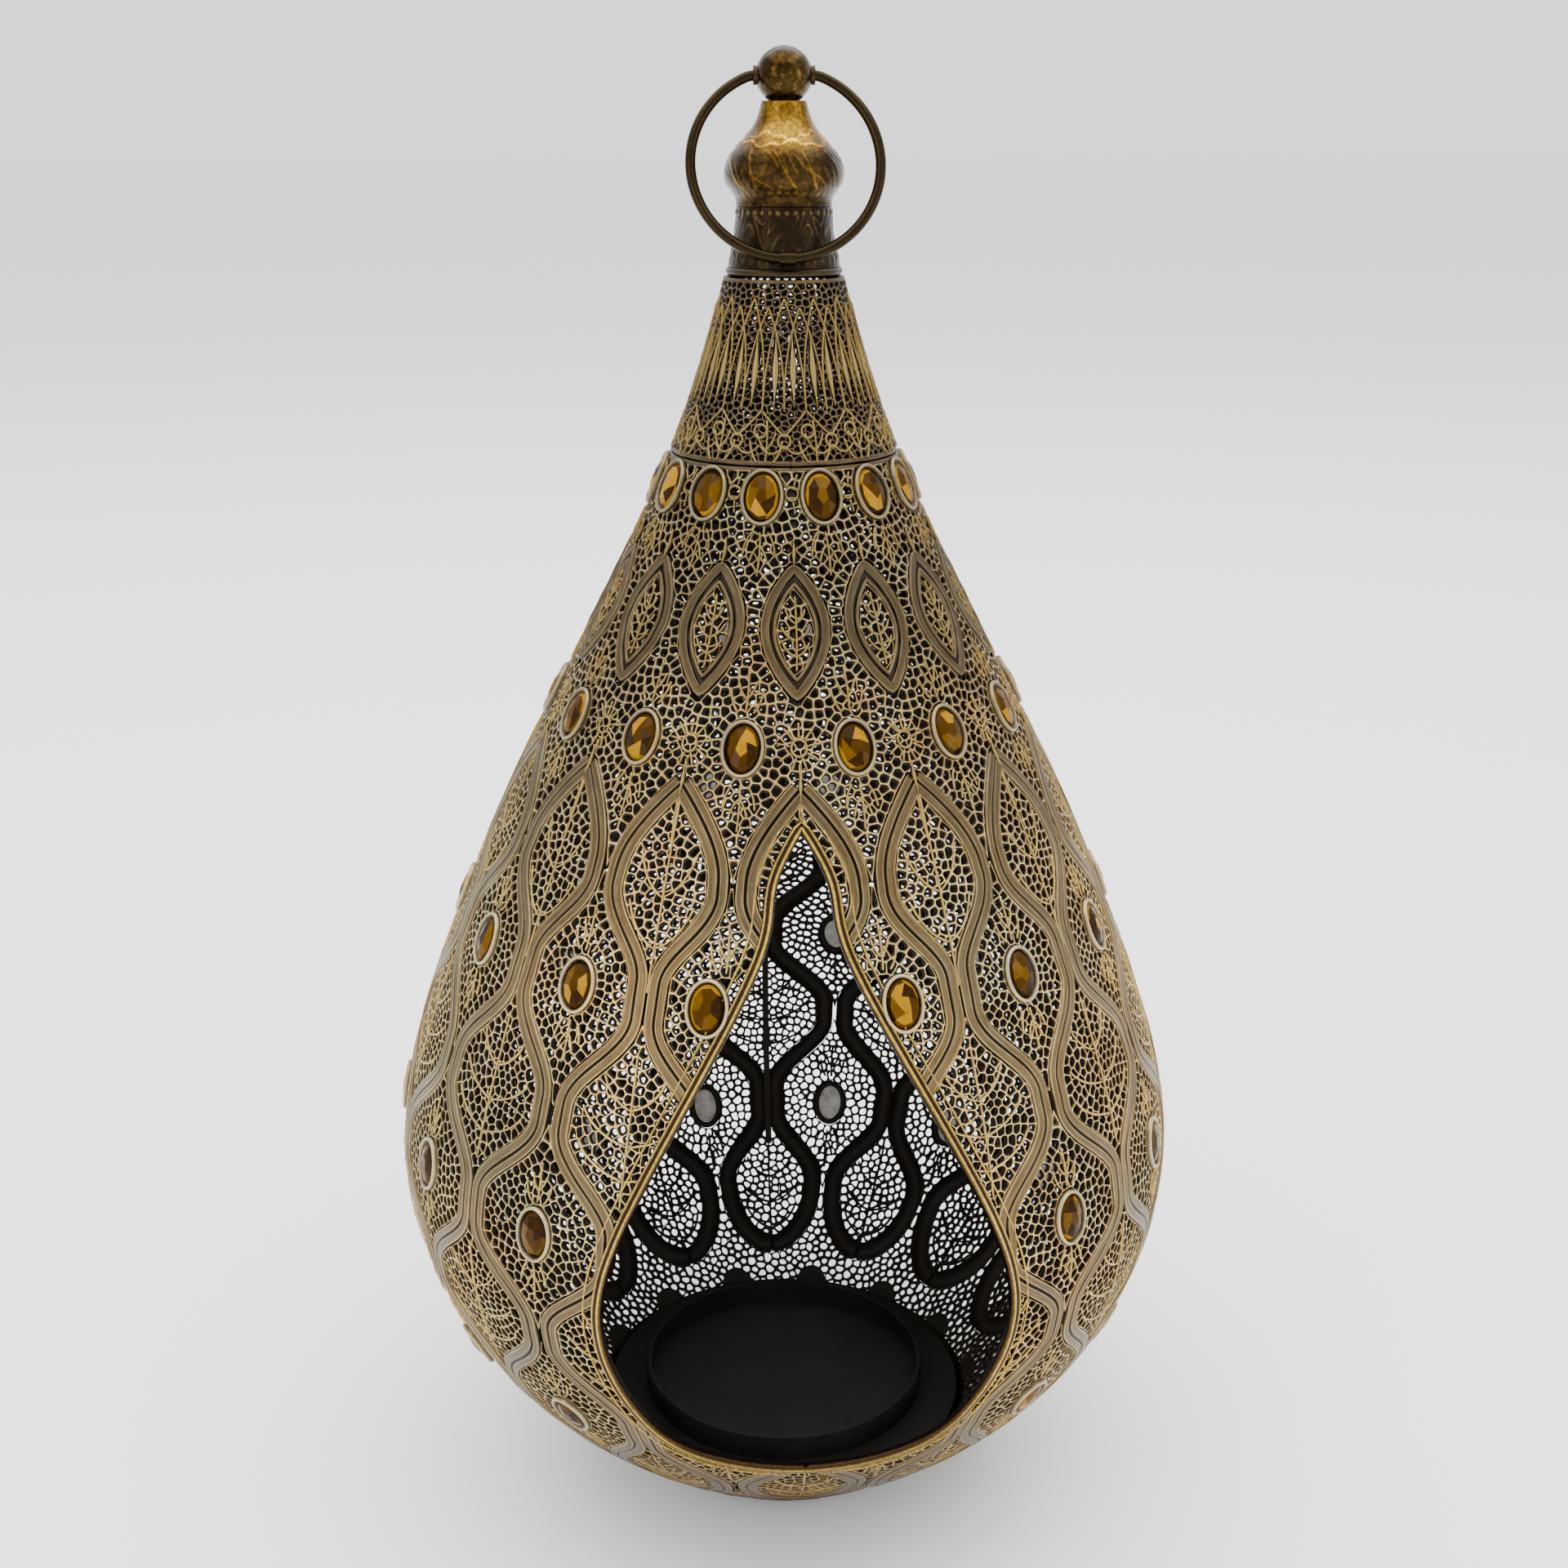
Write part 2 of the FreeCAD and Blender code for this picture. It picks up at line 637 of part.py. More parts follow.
# ---------------------------------------------------------------- check and write
doc.recompute()
for obj in doc.Objects:
    bad = [state for state in obj.State if state in ("Invalid", "Error")]
    if bad:
        raise RuntimeError(f"{obj.Label} is {bad}")
os.makedirs("parts", exist_ok=True)
for part in PIECES:
    shape = part.Shape
    if shape.isNull() or not shape.isValid() or not shape.Solids:
        raise RuntimeError(f"{part.Label} has no valid solid")
    shape.exportStep(f"parts/{part.Label}.step")
    print(f"{part.Label}: {shape.Volume:.0f} mm3, {len(shape.Solids)} solids")
print(f"ring leans {math.degrees(ring_lean()):.2f} degrees")
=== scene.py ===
"""The lantern's looks: pierced openwork with raised wavy bands, stones in bezels, a netted cone, an
embossed collar and finial, the doorway's rolled edge, the black dish and the wire ring. Inside the
pattern code lengths are in millimetres; they become metres where a mesh is made. Angles around the
lantern are 0 at the doorway and grow towards +X."""
import math

import bmesh
import bpy
import numpy as np
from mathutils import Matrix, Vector
from mathutils.bvhtree import BVHTree
from mathutils.geometry import delaunay_2d_cdt


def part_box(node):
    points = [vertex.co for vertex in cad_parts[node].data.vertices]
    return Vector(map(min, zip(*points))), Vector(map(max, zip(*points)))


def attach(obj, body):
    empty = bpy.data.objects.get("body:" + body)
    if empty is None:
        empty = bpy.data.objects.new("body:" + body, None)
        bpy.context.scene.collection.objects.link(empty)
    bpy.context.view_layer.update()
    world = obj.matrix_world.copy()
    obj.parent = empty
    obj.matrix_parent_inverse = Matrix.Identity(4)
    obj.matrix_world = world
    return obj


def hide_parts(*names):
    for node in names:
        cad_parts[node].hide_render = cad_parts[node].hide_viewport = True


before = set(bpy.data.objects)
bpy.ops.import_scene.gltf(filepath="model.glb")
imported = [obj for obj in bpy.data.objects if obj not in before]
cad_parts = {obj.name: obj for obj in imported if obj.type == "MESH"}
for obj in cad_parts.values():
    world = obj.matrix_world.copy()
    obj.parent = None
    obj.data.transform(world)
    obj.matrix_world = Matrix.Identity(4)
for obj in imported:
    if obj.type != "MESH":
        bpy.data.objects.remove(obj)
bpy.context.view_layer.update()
MM = 0.001
RANDOM = np.random.default_rng(7)

# ---------- sizes, in millimetres
SECTORS = 14
STEP = 2 * math.pi / SECTORS
SKIN = 0.9
# The usual distance between holes, in the body and in the cone, and the metal's width between them, which
# grows by a share from some height on.
PITCH, CONE_PITCH = 3.0, 2.35
STRAND, CONE_STRAND, LADDER_STRAND = 0.66, 0.80, 0.85
STRAND_GROWTH, GROWTH_FROM, GROWTH_OVER = 0.45, 180, 80
# Half a band's width, its middle's distance from its column where the pair touches, and half the slit
# between the bands of neighbouring columns.
BAND_HALF, BAND_TOUCH, SLIT_HALF = 3.3, 3.2, 0.75
ROWS = range(1, 6)
SEAM_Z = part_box("upper_cone")[0][2] / MM
CONE_TOP_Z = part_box("upper_cone")[1][2] / MM
ROW_Z = {}
for row in ROWS:
    low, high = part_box(f"stones_row_{row}")
    ROW_Z[row] = (low[2] + high[2]) / 2 / MM
BEZEL_SHORT, BEZEL_LONG = 6.3, 8.6
STONE_SHORT, STONE_LONG = 4.9, 7.0
# The band pair of a column starts at a tip, is wide between the stones, touches beside the three lower
# rows of stones and ends in a round foot.
TIP_Z = ROW_Z[2] - 10.3
FOOT_Z = ROW_Z[5] - 42.8
WIDE_Z = [ROW_Z[3] + 32, (ROW_Z[3] + ROW_Z[4]) / 2, (ROW_Z[4] + ROW_Z[5]) / 2, ROW_Z[5] - 28.5]
NARROW_Z = [ROW_Z[3], ROW_Z[4], ROW_Z[5]]
# The almonds stand midway between the two upper rows of stones.
ALMOND_Z = (ROW_Z[1] + ROW_Z[2]) / 2 - 2.5
ALMOND_REACH, ALMOND_HALF, ALMOND_BAND = 19.0, 10.2, 5.0
# How much shorter an almond gets for each mm that its outline moves in, and how full its sides are.
ALMOND_TAPER, ALMOND_FULLNESS = 1.6, 0.85
# The solid foot's top, and the round humps along it.
SOLID_TOP_Z, HUMP_HALF, HUMP_RISE = 16.0, 6.0, 6.5
# A place well outside the lantern, in metres, from which rays are cast at it.
OUTSIDE = 0.3
# Directions in degrees in which the wall is measured: the right side, clear of doorway and seams.
WALL_ANGLES = [80, 84, 88, 93, 97]
# How far the doorway's metal edge lies outside its opening, under the trim.
DOOR_LAP = 1.2


# ---------- small helpers
def cad_tree(*nodes):
    """A search tree over the meshes of CAD nodes, in metres."""
    vertices, faces = [], []
    for node in nodes:
        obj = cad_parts[node]
        first = len(vertices)
        vertices += [obj.matrix_world @ v.co for v in obj.data.vertices]
        faces += [[first + i for i in p.vertices] for p in obj.data.polygons]
    return BVHTree.FromPolygons(vertices, faces)


def smooth(values, width):
    """A running average whose window narrows at both ends."""
    out = np.array(values, float)
    for k in range(len(out)):
        reach = min(width, k, len(out) - 1 - k)
        out[k] = np.mean(values[k - reach:k + reach + 1])
    return out


def radii_of(tree, heights, angles):
    """The outermost radius in mm at each height, over a few directions in degrees."""
    radii = []
    for z in heights:
        found = [0.0]
        for angle in np.radians(angles):
            out = Vector((math.sin(angle), -math.cos(angle), 0))
            hit = tree.ray_cast(out * OUTSIDE + Vector((0, 0, z * MM)), -out)[0]
            if hit is not None:
                found.append(math.hypot(hit.x, hit.y) / MM)
        radii.append(max(found))
    return np.array(radii)


class Wall:
    """The outer line of the wall, read off the CAD skins, with a conformal height t in which the
    pattern keeps its shapes: a small step dt is as long as the same step in angle."""

    def __init__(self):
        tree = cad_tree("shell_right", "upper_cone")
        self.z = np.linspace(0.4, CONE_TOP_Z - 0.4, 800)
        self.r = smooth(smooth(radii_of(tree, self.z, WALL_ANGLES), 9), 9)
        slope = np.gradient(self.r, self.z)
        self.lean = np.arctan(slope)
        steps = np.hypot(1, slope) / self.r
        gaps = (steps[1:] + steps[:-1]) / 2 * np.diff(self.z)
        self.t = np.concatenate([[0], np.cumsum(gaps)])

    def radius(self, z):
        return np.interp(z, self.z, self.r)

    def t_of(self, z):
        return np.interp(z, self.z, self.t)

    def z_of(self, t):
        return np.interp(t, self.t, self.z)

    def scale(self, t):
        """Millimetres on the wall for one unit of angle or t."""
        return np.interp(t, self.t, self.r)

    def point(self, angle, t, rise):
        """Points in metres from angle, t and a rise above the wall in mm."""
        z = np.interp(t, self.t, self.z)
        r = np.interp(t, self.t, self.r)
        lean = np.interp(t, self.t, self.lean)
        r = r + rise * np.cos(lean)
        z = z - rise * np.sin(lean)
        return np.stack([r * np.sin(angle), -r * np.cos(angle), z], -1) * MM

    def stand(self, angle, z):
        """A frame on the wall at a place: the point in metres, and unit vectors around, up and out."""
        spot, raised = self.point(np.full(2, angle), np.full(2, self.t_of(z)), np.array([0.0, 1.0]))
        out = (raised - spot) / MM
        around = np.array([math.cos(angle), math.sin(angle), 0])
        return spot, around, np.cross(out, around), out


wall = Wall()


def wall_line(angles, heights):
    """A line of (angle, t) points from angles and heights in mm; either may be a single number."""
    return np.stack(np.broadcast_arrays(np.asarray(angles, float), wall.t_of(heights)), 1)


def make_object(name, vertices, faces, materials, kinds=None, smooth_faces=True, tones=None, grains=None,
                face_tones=None, weld=0.0):
    """A mesh object from points in metres. Tone is 0 in the hollows and 1 on the crests: painted shade in
    the hollows and a painted highlight on the crests. Grain gives the place along and across a band."""
    mesh = bpy.data.meshes.new(name)
    mesh.from_pydata([tuple(v) for v in vertices], [], faces)
    for material in materials:
        mesh.materials.append(material)
    if kinds is not None:
        mesh.polygons.foreach_set("material_index", kinds)
    layers = [("tone", "FLOAT", "POINT", tones, "value"), ("tone", "FLOAT", "FACE", face_tones, "value"),
              ("grain", "FLOAT_VECTOR", "POINT", grains, "vector")]
    for key, kind, domain, values, field in layers:
        if values is not None:
            values = np.ravel(np.asarray(values, float))
            mesh.attributes.new(key, kind, domain).data.foreach_set(field, values)
    if weld:
        work = bmesh.new()
        work.from_mesh(mesh)
        bmesh.ops.remove_doubles(work, verts=work.verts, dist=weld)
        work.to_mesh(mesh)
        work.free()
    mesh.polygons.foreach_set("use_smooth", [smooth_faces] * len(mesh.polygons))
    mesh.update()
    obj = bpy.data.objects.new(name, mesh)
    bpy.context.scene.collection.objects.link(obj)
    return obj


class Builder:
    """Collects the points and faces of one piece."""

    def __init__(self):
        self.points, self.tones, self.grains = [], [], []
        self.faces, self.kinds = [], []
        self.count = 0

    def add(self, points, faces, kinds, tones, grains=None):
        points = np.asarray(points)
        self.points.append(points)
        self.tones.append(np.asarray(tones, float))
        self.grains.append(np.zeros((len(points), 3)) if grains is None else grains)
        self.faces += [[self.count + i for i in face] for face in faces]
        self.kinds += list(kinds)
        self.count += len(points)

    def make(self, name, materials, weld=0.0):
        return make_object(name, np.concatenate(self.points), self.faces, materials, self.kinds,
                           tones=np.concatenate(self.tones), grains=np.concatenate(self.grains), weld=weld)


def place_piece(piece, slot, *nodes, body="lantern"):
    """Lets a piece stand for CAD nodes and ride on a body. The slot is not used."""
    if nodes:
        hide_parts(*nodes)
    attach(piece, body)
    return piece


# ---------- the doorway's edge
def door_outline():
    """The doorway's edge as half widths at heights, read off the CAD trim, in mm."""
    low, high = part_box("door_trim_right")
    tree = cad_tree("door_trim_right", "shell_right")
    heights = np.linspace(low[2] / MM + 0.3, high[2] / MM - 0.3, 240)

    def first_solid(z):
        for half in np.arange(0.2, 70, 0.25):
            hit = tree.ray_cast(Vector((half * MM, -OUTSIDE, z * MM)), Vector((0, 1, 0)))[0]
            if hit is not None and hit.y < 0:
                return half
        return 0.0

    return heights, np.array([first_solid(z) for z in heights])


DOOR_Z, DOOR_HALF = door_outline()
OPEN_ROWS = DOOR_HALF > 0.4
DOOR_LOW, DOOR_HIGH = DOOR_Z[OPEN_ROWS][0], DOOR_Z[OPEN_ROWS][-1]


def resample(line, gap):
    """The same line with points about a gap apart, in mm on the wall."""
    scale = wall.scale(line[:, 1])
    steps = np.hypot(*np.diff(line, axis=0).T) * (scale[1:] + scale[:-1]) / 2
    length = np.concatenate([[0], np.cumsum(steps)])
    count = max(3, int(round(length[-1] / gap)) + 1)
    even = np.linspace(0, length[-1], count)
    return np.stack([np.interp(even, length, line[:, 0]), np.interp(even, length, line[:, 1])], 1)


def door_edge():
    """The doorway's edge as (angle, t) points from the sill's middle up the right side to the tip, with
    the direction out of the doorway at each."""
    z = np.concatenate([[DOOR_LOW - 0.4], DOOR_Z[OPEN_ROWS], [DOOR_HIGH + 0.6]])
    half = np.concatenate([[0.0], smooth(DOOR_HALF[OPEN_ROWS], 3), [0.0]])
    angle = np.arcsin(np.clip(half / wall.radius(z), -1, 1))
    line = resample(wall_line(angle, z), 1.4)
    line = np.stack([smooth(line[:, 0], 2), smooth(line[:, 1], 2)], 1)
    slope = np.gradient(line, axis=0)
    normal = np.stack([slope[:, 1], -slope[:, 0]], 1)
    normal /= np.linalg.norm(normal, axis=1)[:, None]
    normal[0], normal[-1] = (0, -1), (0, 1)
    return line, normal


DOOR_EDGE, DOOR_NORMAL = door_edge()


def door_line(outset):
    """The doorway's edge moved outwards by some mm."""
    moved = DOOR_EDGE + DOOR_NORMAL * outset / wall.scale(DOOR_EDGE[:, 1])[:, None]
    moved[[0, -1], 0] = 0
    return moved


DOOR_CUT = door_line(DOOR_LAP)


# The doorway's surroundings: an angle to each side, and mm above and below.
DOOR_SIDE, DOOR_MARGIN = 0.8, 12


def near_door(angle, z):
    """Whether places are near enough to the doorway for it to cut them."""
    return (np.abs(angle) < DOOR_SIDE) & (z > DOOR_LOW - DOOR_MARGIN) & (z < DOOR_HIGH + DOOR_MARGIN)


def door_distance(angle, t):
    """Signed distance in mm from the cut edge, positive in the metal, with the nearest edge point and
    the direction out of the doorway there. The left side is the mirror image of the right."""
    side = np.where(angle < 0, -1.0, 1.0)
    flat = np.stack([np.abs(angle), t], -1)
    gap = flat[:, None, :] - DOOR_CUT[None]
    near = np.argmin((gap ** 2).sum(-1), axis=1)
    edge, normal = DOOR_CUT[near].copy(), DOOR_NORMAL[near].copy()
    signed = ((flat - edge) * normal).sum(-1) * wall.scale(t)
    edge[:, 0] *= side
    normal[:, 0] *= side
    return signed, edge, normal


# ---------- the pattern's lines
def touching(z):
    """Angle of a band's middle from its column where the pair touches."""
    return BAND_TOUCH / wall.radius(z)


def spread(z):
    """Angle of a band's middle from its column where it nearly meets the next column's band."""
    return STEP / 2 - (BAND_HALF + SLIT_HALF) / wall.radius(z)


# How full the band pair is below its tip, and where a band starts and ends its swing between places.
TIP_FULLNESS = 0.9
SWING_START, SWING_LENGTH = 0.14, 0.76


def wave_angle(z):
    """Angle of a band's middle line from its column at a height."""
    if z >= WIDE_Z[0]:
        share = (TIP_Z - z) / (TIP_Z - WIDE_Z[0])
        return spread(z) * math.sin(max(share, 0.0) * math.pi / 2) ** TIP_FULLNESS
    if z <= WIDE_Z[-1]:
        share = (WIDE_Z[-1] - z) / (WIDE_Z[-1] - FOOT_Z)
        return spread(z) * math.sqrt(max(0.0, 1 - share ** 2))
    narrow = min(NARROW_Z, key=lambda k: abs(k - z))
    wide = min(WIDE_Z, key=lambda k: abs(k - z))
    ends = sorted([narrow, wide])
    if not ends[0] <= z <= ends[1]:
        near = [k for k in WIDE_Z if (k > narrow) == (z > narrow)]
        wide = min(near, key=lambda k: abs(k - narrow))
    share = (z - narrow) / (wide - narrow)
    share = min(max((share - SWING_START) / SWING_LENGTH, 0.0), 1.0)
    ease = (1 - math.cos(share * math.pi)) / 2
    return touching(z) + (spread(z) - touching(z)) * ease


def wave_line():
    """The right-hand band's middle line beside column 0, from its tip down to its round foot."""
    turn = np.linspace(0, math.pi / 2, 50)
    foot = FOOT_Z + (WIDE_Z[-1] - FOOT_Z) * np.cos(turn)
    z = np.concatenate([np.linspace(TIP_Z, WIDE_Z[-1], 380), foot[1:]])
    return wall_line([wave_angle(k) for k in z], z)


def almond_line(inset, points=60):
    """Right half of an almond's outline beside column 0, from its lower to its upper tip."""
    share = np.linspace(-1, 1, points)
    z = ALMOND_Z + share * (ALMOND_REACH - ALMOND_TAPER * inset)
    half = (ALMOND_HALF - inset) * np.cos(share * math.pi / 2) ** ALMOND_FULLNESS
    return wall_line(half / wall.radius(z), z)


WAVE_LINE = resample(wave_line(), 1.0)
ALMOND_OUTER = almond_line(0.0)
ALMOND_INNER = almond_line(ALMOND_BAND)


def line_distance(angle, t, line):
    """Unsigned distance in mm from points to a line of points."""
    gap = np.stack([angle, t], -1)[:, None, :] - line[None]
    return np.sqrt((gap ** 2).sum(-1).min(1)) * wall.scale(t)


def inside_outline(angle, t, line):
    """Whether points lie between a half outline beside column 0 and its mirror image."""
    half = np.interp(t, line[:, 1], line[:, 0], left=-1, right=-1)
    return np.abs(angle) < half


def solid_top(angle):
    """The height up to which the foot is solid: level, with a round hump between the columns."""
    across = (np.abs((angle / STEP) % 1 - 0.5)) * STEP * wall.radius(SOLID_TOP_Z)
    return SOLID_TOP_Z + HUMP_RISE * np.sqrt(np.clip(1 - (across / HUMP_HALF) ** 2, 0, 1))


def oval_distance(across, up, short, long):
    """Roughly the distance outside an oval."""
    near = np.hypot(across / short, up / long)
    steep = np.maximum(np.hypot(across / short ** 2, up / long ** 2), 1e-6)
    return np.where(near > 0.5, near * (near - 1) / steep, -short / 2)


def body_features(angle, t):
    """Distances in mm, positive in the openwork, from each kind of solid feature in one sector whose
    column is at angle 0."""
    scale = wall.scale(t)
    folded = np.abs(angle)
    beyond = WAVE_LINE * (-1, 1) + (STEP, 0)
    out = [line_distance(folded, t, line) - BAND_HALF for line in (WAVE_LINE, beyond)]
    in_outer = inside_outline(folded, t, ALMOND_OUTER)
    in_inner = inside_outline(folded, t, ALMOND_INNER)
    outer = line_distance(folded, t, ALMOND_OUTER) * np.where(in_outer, -1, 1)
    inner = line_distance(folded, t, ALMOND_INNER) * np.where(in_inner, 1, -1)
    out.append(np.where(inner > 0, 99.0, outer))
    out.append(np.where(outer > 0, 99.0, np.where(inner > -1.5, inner, -9.0)))
    for z in ROW_Z.values():
        across = (folded - STEP / 2) * scale
        out.append(oval_distance(across, (t - wall.t_of(z)) * scale, BEZEL_SHORT, BEZEL_LONG))
    out.append((t - wall.t_of(solid_top(angle))) * scale * 0.8)
    out.append((wall.t_of(SEAM_Z - 1.2) - t) * scale)
    return np.stack(out, 0)


# The cone's netting: a ladder of round holes in each sector between two tall solid petals.
# Painted shade: CONE_SHADE scales the tones of the cone's netting down to darken it.
CONE_SHADE = 0.72
LADDER = [SEAM_Z + 19.6 + 3.5 * k for k in range(6)]
PETAL_ANGLE = 0.27 * STEP
PETAL_Z, PETAL_LONG, PETAL_SHORT = SEAM_Z + 26.0, 10.0, 1.1
FLOWER_Z = SEAM_Z + 8.0
CONE_TURN = 0.37 * STEP


def cone_features(angle, t):
    scale = wall.scale(t)
    folded = np.abs(angle)
    across = (folded - PETAL_ANGLE) * scale
    out = [
        (t - wall.t_of(SEAM_Z + 1.3)) * scale,
        (wall.t_of(CONE_TOP_Z - 1.2) - t) * scale,
        oval_distance(across, (t - wall.t_of(PETAL_Z)) * scale, PETAL_SHORT, PETAL_LONG),
    ]
    return np.stack(out, 0)


# ---------- fields of pierced holes
def polygon_centre(cell):
    x, y = cell[:, 0], cell[:, 1]
    cross = x * np.roll(y, -1) - np.roll(x, -1) * y
    area = cross.sum() / 2
    if abs(area) < 1e-12:
        return cell.mean(0)
    return np.array([((x + np.roll(x, -1)) * cross).sum(), ((y + np.roll(y, -1)) * cross).sum()]) / (6 * area)


def merge_close(ring, gap):
    """Drops corners that lie closer together than a gap."""
    kept = [ring[0]]
    for corner in ring[1:]:
        if np.linalg.norm(corner - kept[-1]) > gap:
            kept.append(corner)
    if len(kept) > 3 and np.linalg.norm(kept[-1] - kept[0]) <= gap:
        kept.pop()
    return np.array(kept)


def circumcentres(a, b, c):
    """Centres of the circles through the corners of triangles."""
    ab, ac = b - a, c - a
    cross = 2 * (ab[:, 0] * ac[:, 1] - ab[:, 1] * ac[:, 0])
    cross = np.where(np.abs(cross) < 1e-14, 1e-14, cross)
    ab2, ac2 = (ab ** 2).sum(1), (ac ** 2).sum(1)
    middle = np.stack([ac[:, 1] * ab2 - ab[:, 1] * ac2, ab[:, 0] * ac2 - ac[:, 0] * ab2], 1)
    return a + middle / cross[:, None]


class Field:
    """The holes of one sector: scattered, then spread a little more evenly by moving each to the middle
    of its own cell. Images mirrored across the solid edges line the holes up along them. Pinned holes
    stay where they are put."""

    # In pitches: the usual gap between holes, how clear of the edges holes start, how near an edge they are
    # mirrored, how far beyond the sector's sides they are repeated, and how far a cell reaches.
    GAP, CLEAR, MIRRORED, BEYOND, REACH = 0.86, 0.33, 1.25, 2.2, 1.6

    def __init__(self, features, low, high, pitch, pins=(), rounds=2):
        self.features, self.pitch = features, pitch
        self.low, self.high = low, high
        self.pins = len(pins)
        self.seeds = self.scatter(np.array(pins, float).reshape(-1, 2))
        for _ in range(rounds):
            for number, cell in enumerate(self.cells()):
                if cell is not None and number >= self.pins:
                    self.seeds[number] = polygon_centre(cell)
            self.seeds[:, 0] = (self.seeds[:, 0] + STEP / 2) % STEP - STEP / 2

    def scatter(self, pins, tries=60000):
        heights = RANDOM.uniform(self.low, self.high, tries)
        widest = wall.radius(np.linspace(self.low, self.high, 50)).max()
        heights = heights[RANDOM.uniform(0, 1, tries) < wall.radius(heights) / widest]
        angles = RANDOM.uniform(-STEP / 2, STEP / 2, len(heights))
        spacing = self.GAP * self.pitch * RANDOM.uniform(0.74, 1.12, len(heights))
        ts = wall.t_of(heights)
        clear = self.features(angles, ts).min(0) > self.CLEAR * self.pitch
        angles, ts, spacing = angles[clear], ts[clear], spacing[clear]
        scale = wall.scale(ts)
        seeds = np.zeros((len(angles) + len(pins), 2))
        seeds[:len(pins)] = pins
        count = len(pins)
        for angle, t, size, gap in zip(angles, ts, scale, spacing):
            if count:
                aside = np.abs(seeds[:count, 0] - angle)
                aside = np.minimum(aside, STEP - aside)
                if (aside ** 2 + (seeds[:count, 1] - t) ** 2).min() < (gap / size) ** 2:
                    continue
            seeds[count] = angle, t
            count += 1
        return seeds[:count]

    def mirror_images(self):
        """Images of the seeds across each solid edge near them, where they fall inside the solid."""
        angle, t = self.seeds[:, 0], self.seeds[:, 1]
        scale = wall.scale(t)
        here = self.features(angle, t)
        step = 0.02 / scale
        span = 2 * step * scale
        along_angle = (self.features(angle + step, t) - self.features(angle - step, t)) / span
        along_t = (self.features(angle, t + step) - self.features(angle, t - step)) / span
        images = []
        for number, (d, da, dt) in enumerate(zip(here, along_angle, along_t)):
            size = np.hypot(da, dt)
            move = 2 * d / np.maximum(size, 0.2) ** 2 / scale
            image = np.stack([angle - move * da, t - move * dt], 1)
            within = self.features(image[:, 0], image[:, 1])[number] < 0
            images.append(image[(d < self.MIRRORED * self.pitch) & (d > 0.05) & (size > 0.2) & within])
        return np.concatenate(images)

    def wrapped(self, places):
        """The places near one side of the sector, repeated beyond the other side."""
        reach = self.BEYOND * self.pitch / wall.scale(places[:, 1])
        right = places[places[:, 0] > STEP / 2 - reach] - (STEP, 0)
        left = places[places[:, 0] < -STEP / 2 + reach] + (STEP, 0)
        return [right, left]

    def cells(self):
        """Each seed's cell as points around it, in order."""
        seeds = self.seeds
        count = len(seeds)
        ghosts = self.mirror_images()
        places = np.concatenate([seeds, ghosts, *self.wrapped(seeds), *self.wrapped(ghosts)])
        found = delaunay_2d_cdt([Vector(p) for p in places], [], [], 0, 1e-7)
        spots = np.array([tuple(v) for v in found[0]])
        triangles = np.array(found[2])
        owners = [min(o) if o else -1 for o in found[3]]
        centres = circumcentres(*(spots[triangles[:, k]] for k in range(3)))
        around = [[] for _ in range(count)]
        for number, triangle in enumerate(triangles):
            for corner in triangle:
                owner = owners[corner]
                if 0 <= owner < count:
                    around[owner].append(number)
        cells = []
        for owner in range(count):
            if len(around[owner]) < 3:
                cells.append(None)
                continue
            scale = wall.scale(seeds[owner, 1])
            arm = centres[around[owner]] - seeds[owner]
            length = np.linalg.norm(arm, axis=1)
            arm = arm * np.minimum(1, self.REACH * self.pitch / scale / np.maximum(length, 1e-9))[:, None]
            order = np.argsort(np.arctan2(arm[:, 1], arm[:, 0]))
            cells.append(merge_close(seeds[owner] + arm[order], 0.25 / scale))
        return cells


def clip(cell, edge, normal):
    """The part of a cell on the metal side of the doorway's edge."""
    side = (cell - edge) @ normal
    if (side >= 0).all():
        return cell
    out = []
    for k in range(len(cell)):
        following = (k + 1) % len(cell)
        if side[k] >= 0:
            out.append(cell[k])
        if (side[k] >= 0) != (side[following] >= 0):
            share = side[k] / (side[k] - side[following])
            out.append(cell[k] + share * (cell[following] - cell[k]))
    return np.array(out) if len(out) >= 3 else None


def clip_at_door(cell, middle):
    """The part of a cell in the metal beside the doorway, or None."""
    signed, edge, normal = door_distance(middle[:1], middle[1:])
    if signed[0] < -2.5:
        return None
    cell = clip(cell, edge[0], normal[0])
    if cell is not None:
        cell = merge_close(cell, 0.2 / wall.scale(middle[1]))
    return cell if cell is not None and len(cell) >= 3 else None


# Tones from a ridge's crest down into the hole: a painted highlight on the crest and painted shade down into
# the hole.
CREST, SHOULDER, RIM, DEEP = 1.12, 0.42, 0.05, 0.0
# Where a polygon's corners are cut, how far the shoulder lies from rim to crest, how high it is as a share
# of the crest, and the smallest hole as a share of its cell.
CORNER_CUT, SHOULDER_OUT, SHOULDER_RISE, SMALLEST_HOLE = 0.27, 0.46, 0.80, 0.25


def cut_corners(ring):
    """Two points on each side of a polygon, short of its corners."""
    side = np.roll(ring, -1, axis=0) - ring
    out = np.empty((2 * len(ring), 2))
    out[0::2] = ring + CORNER_CUT * side
    out[1::2] = ring + (1 - CORNER_CUT) * side
    return out


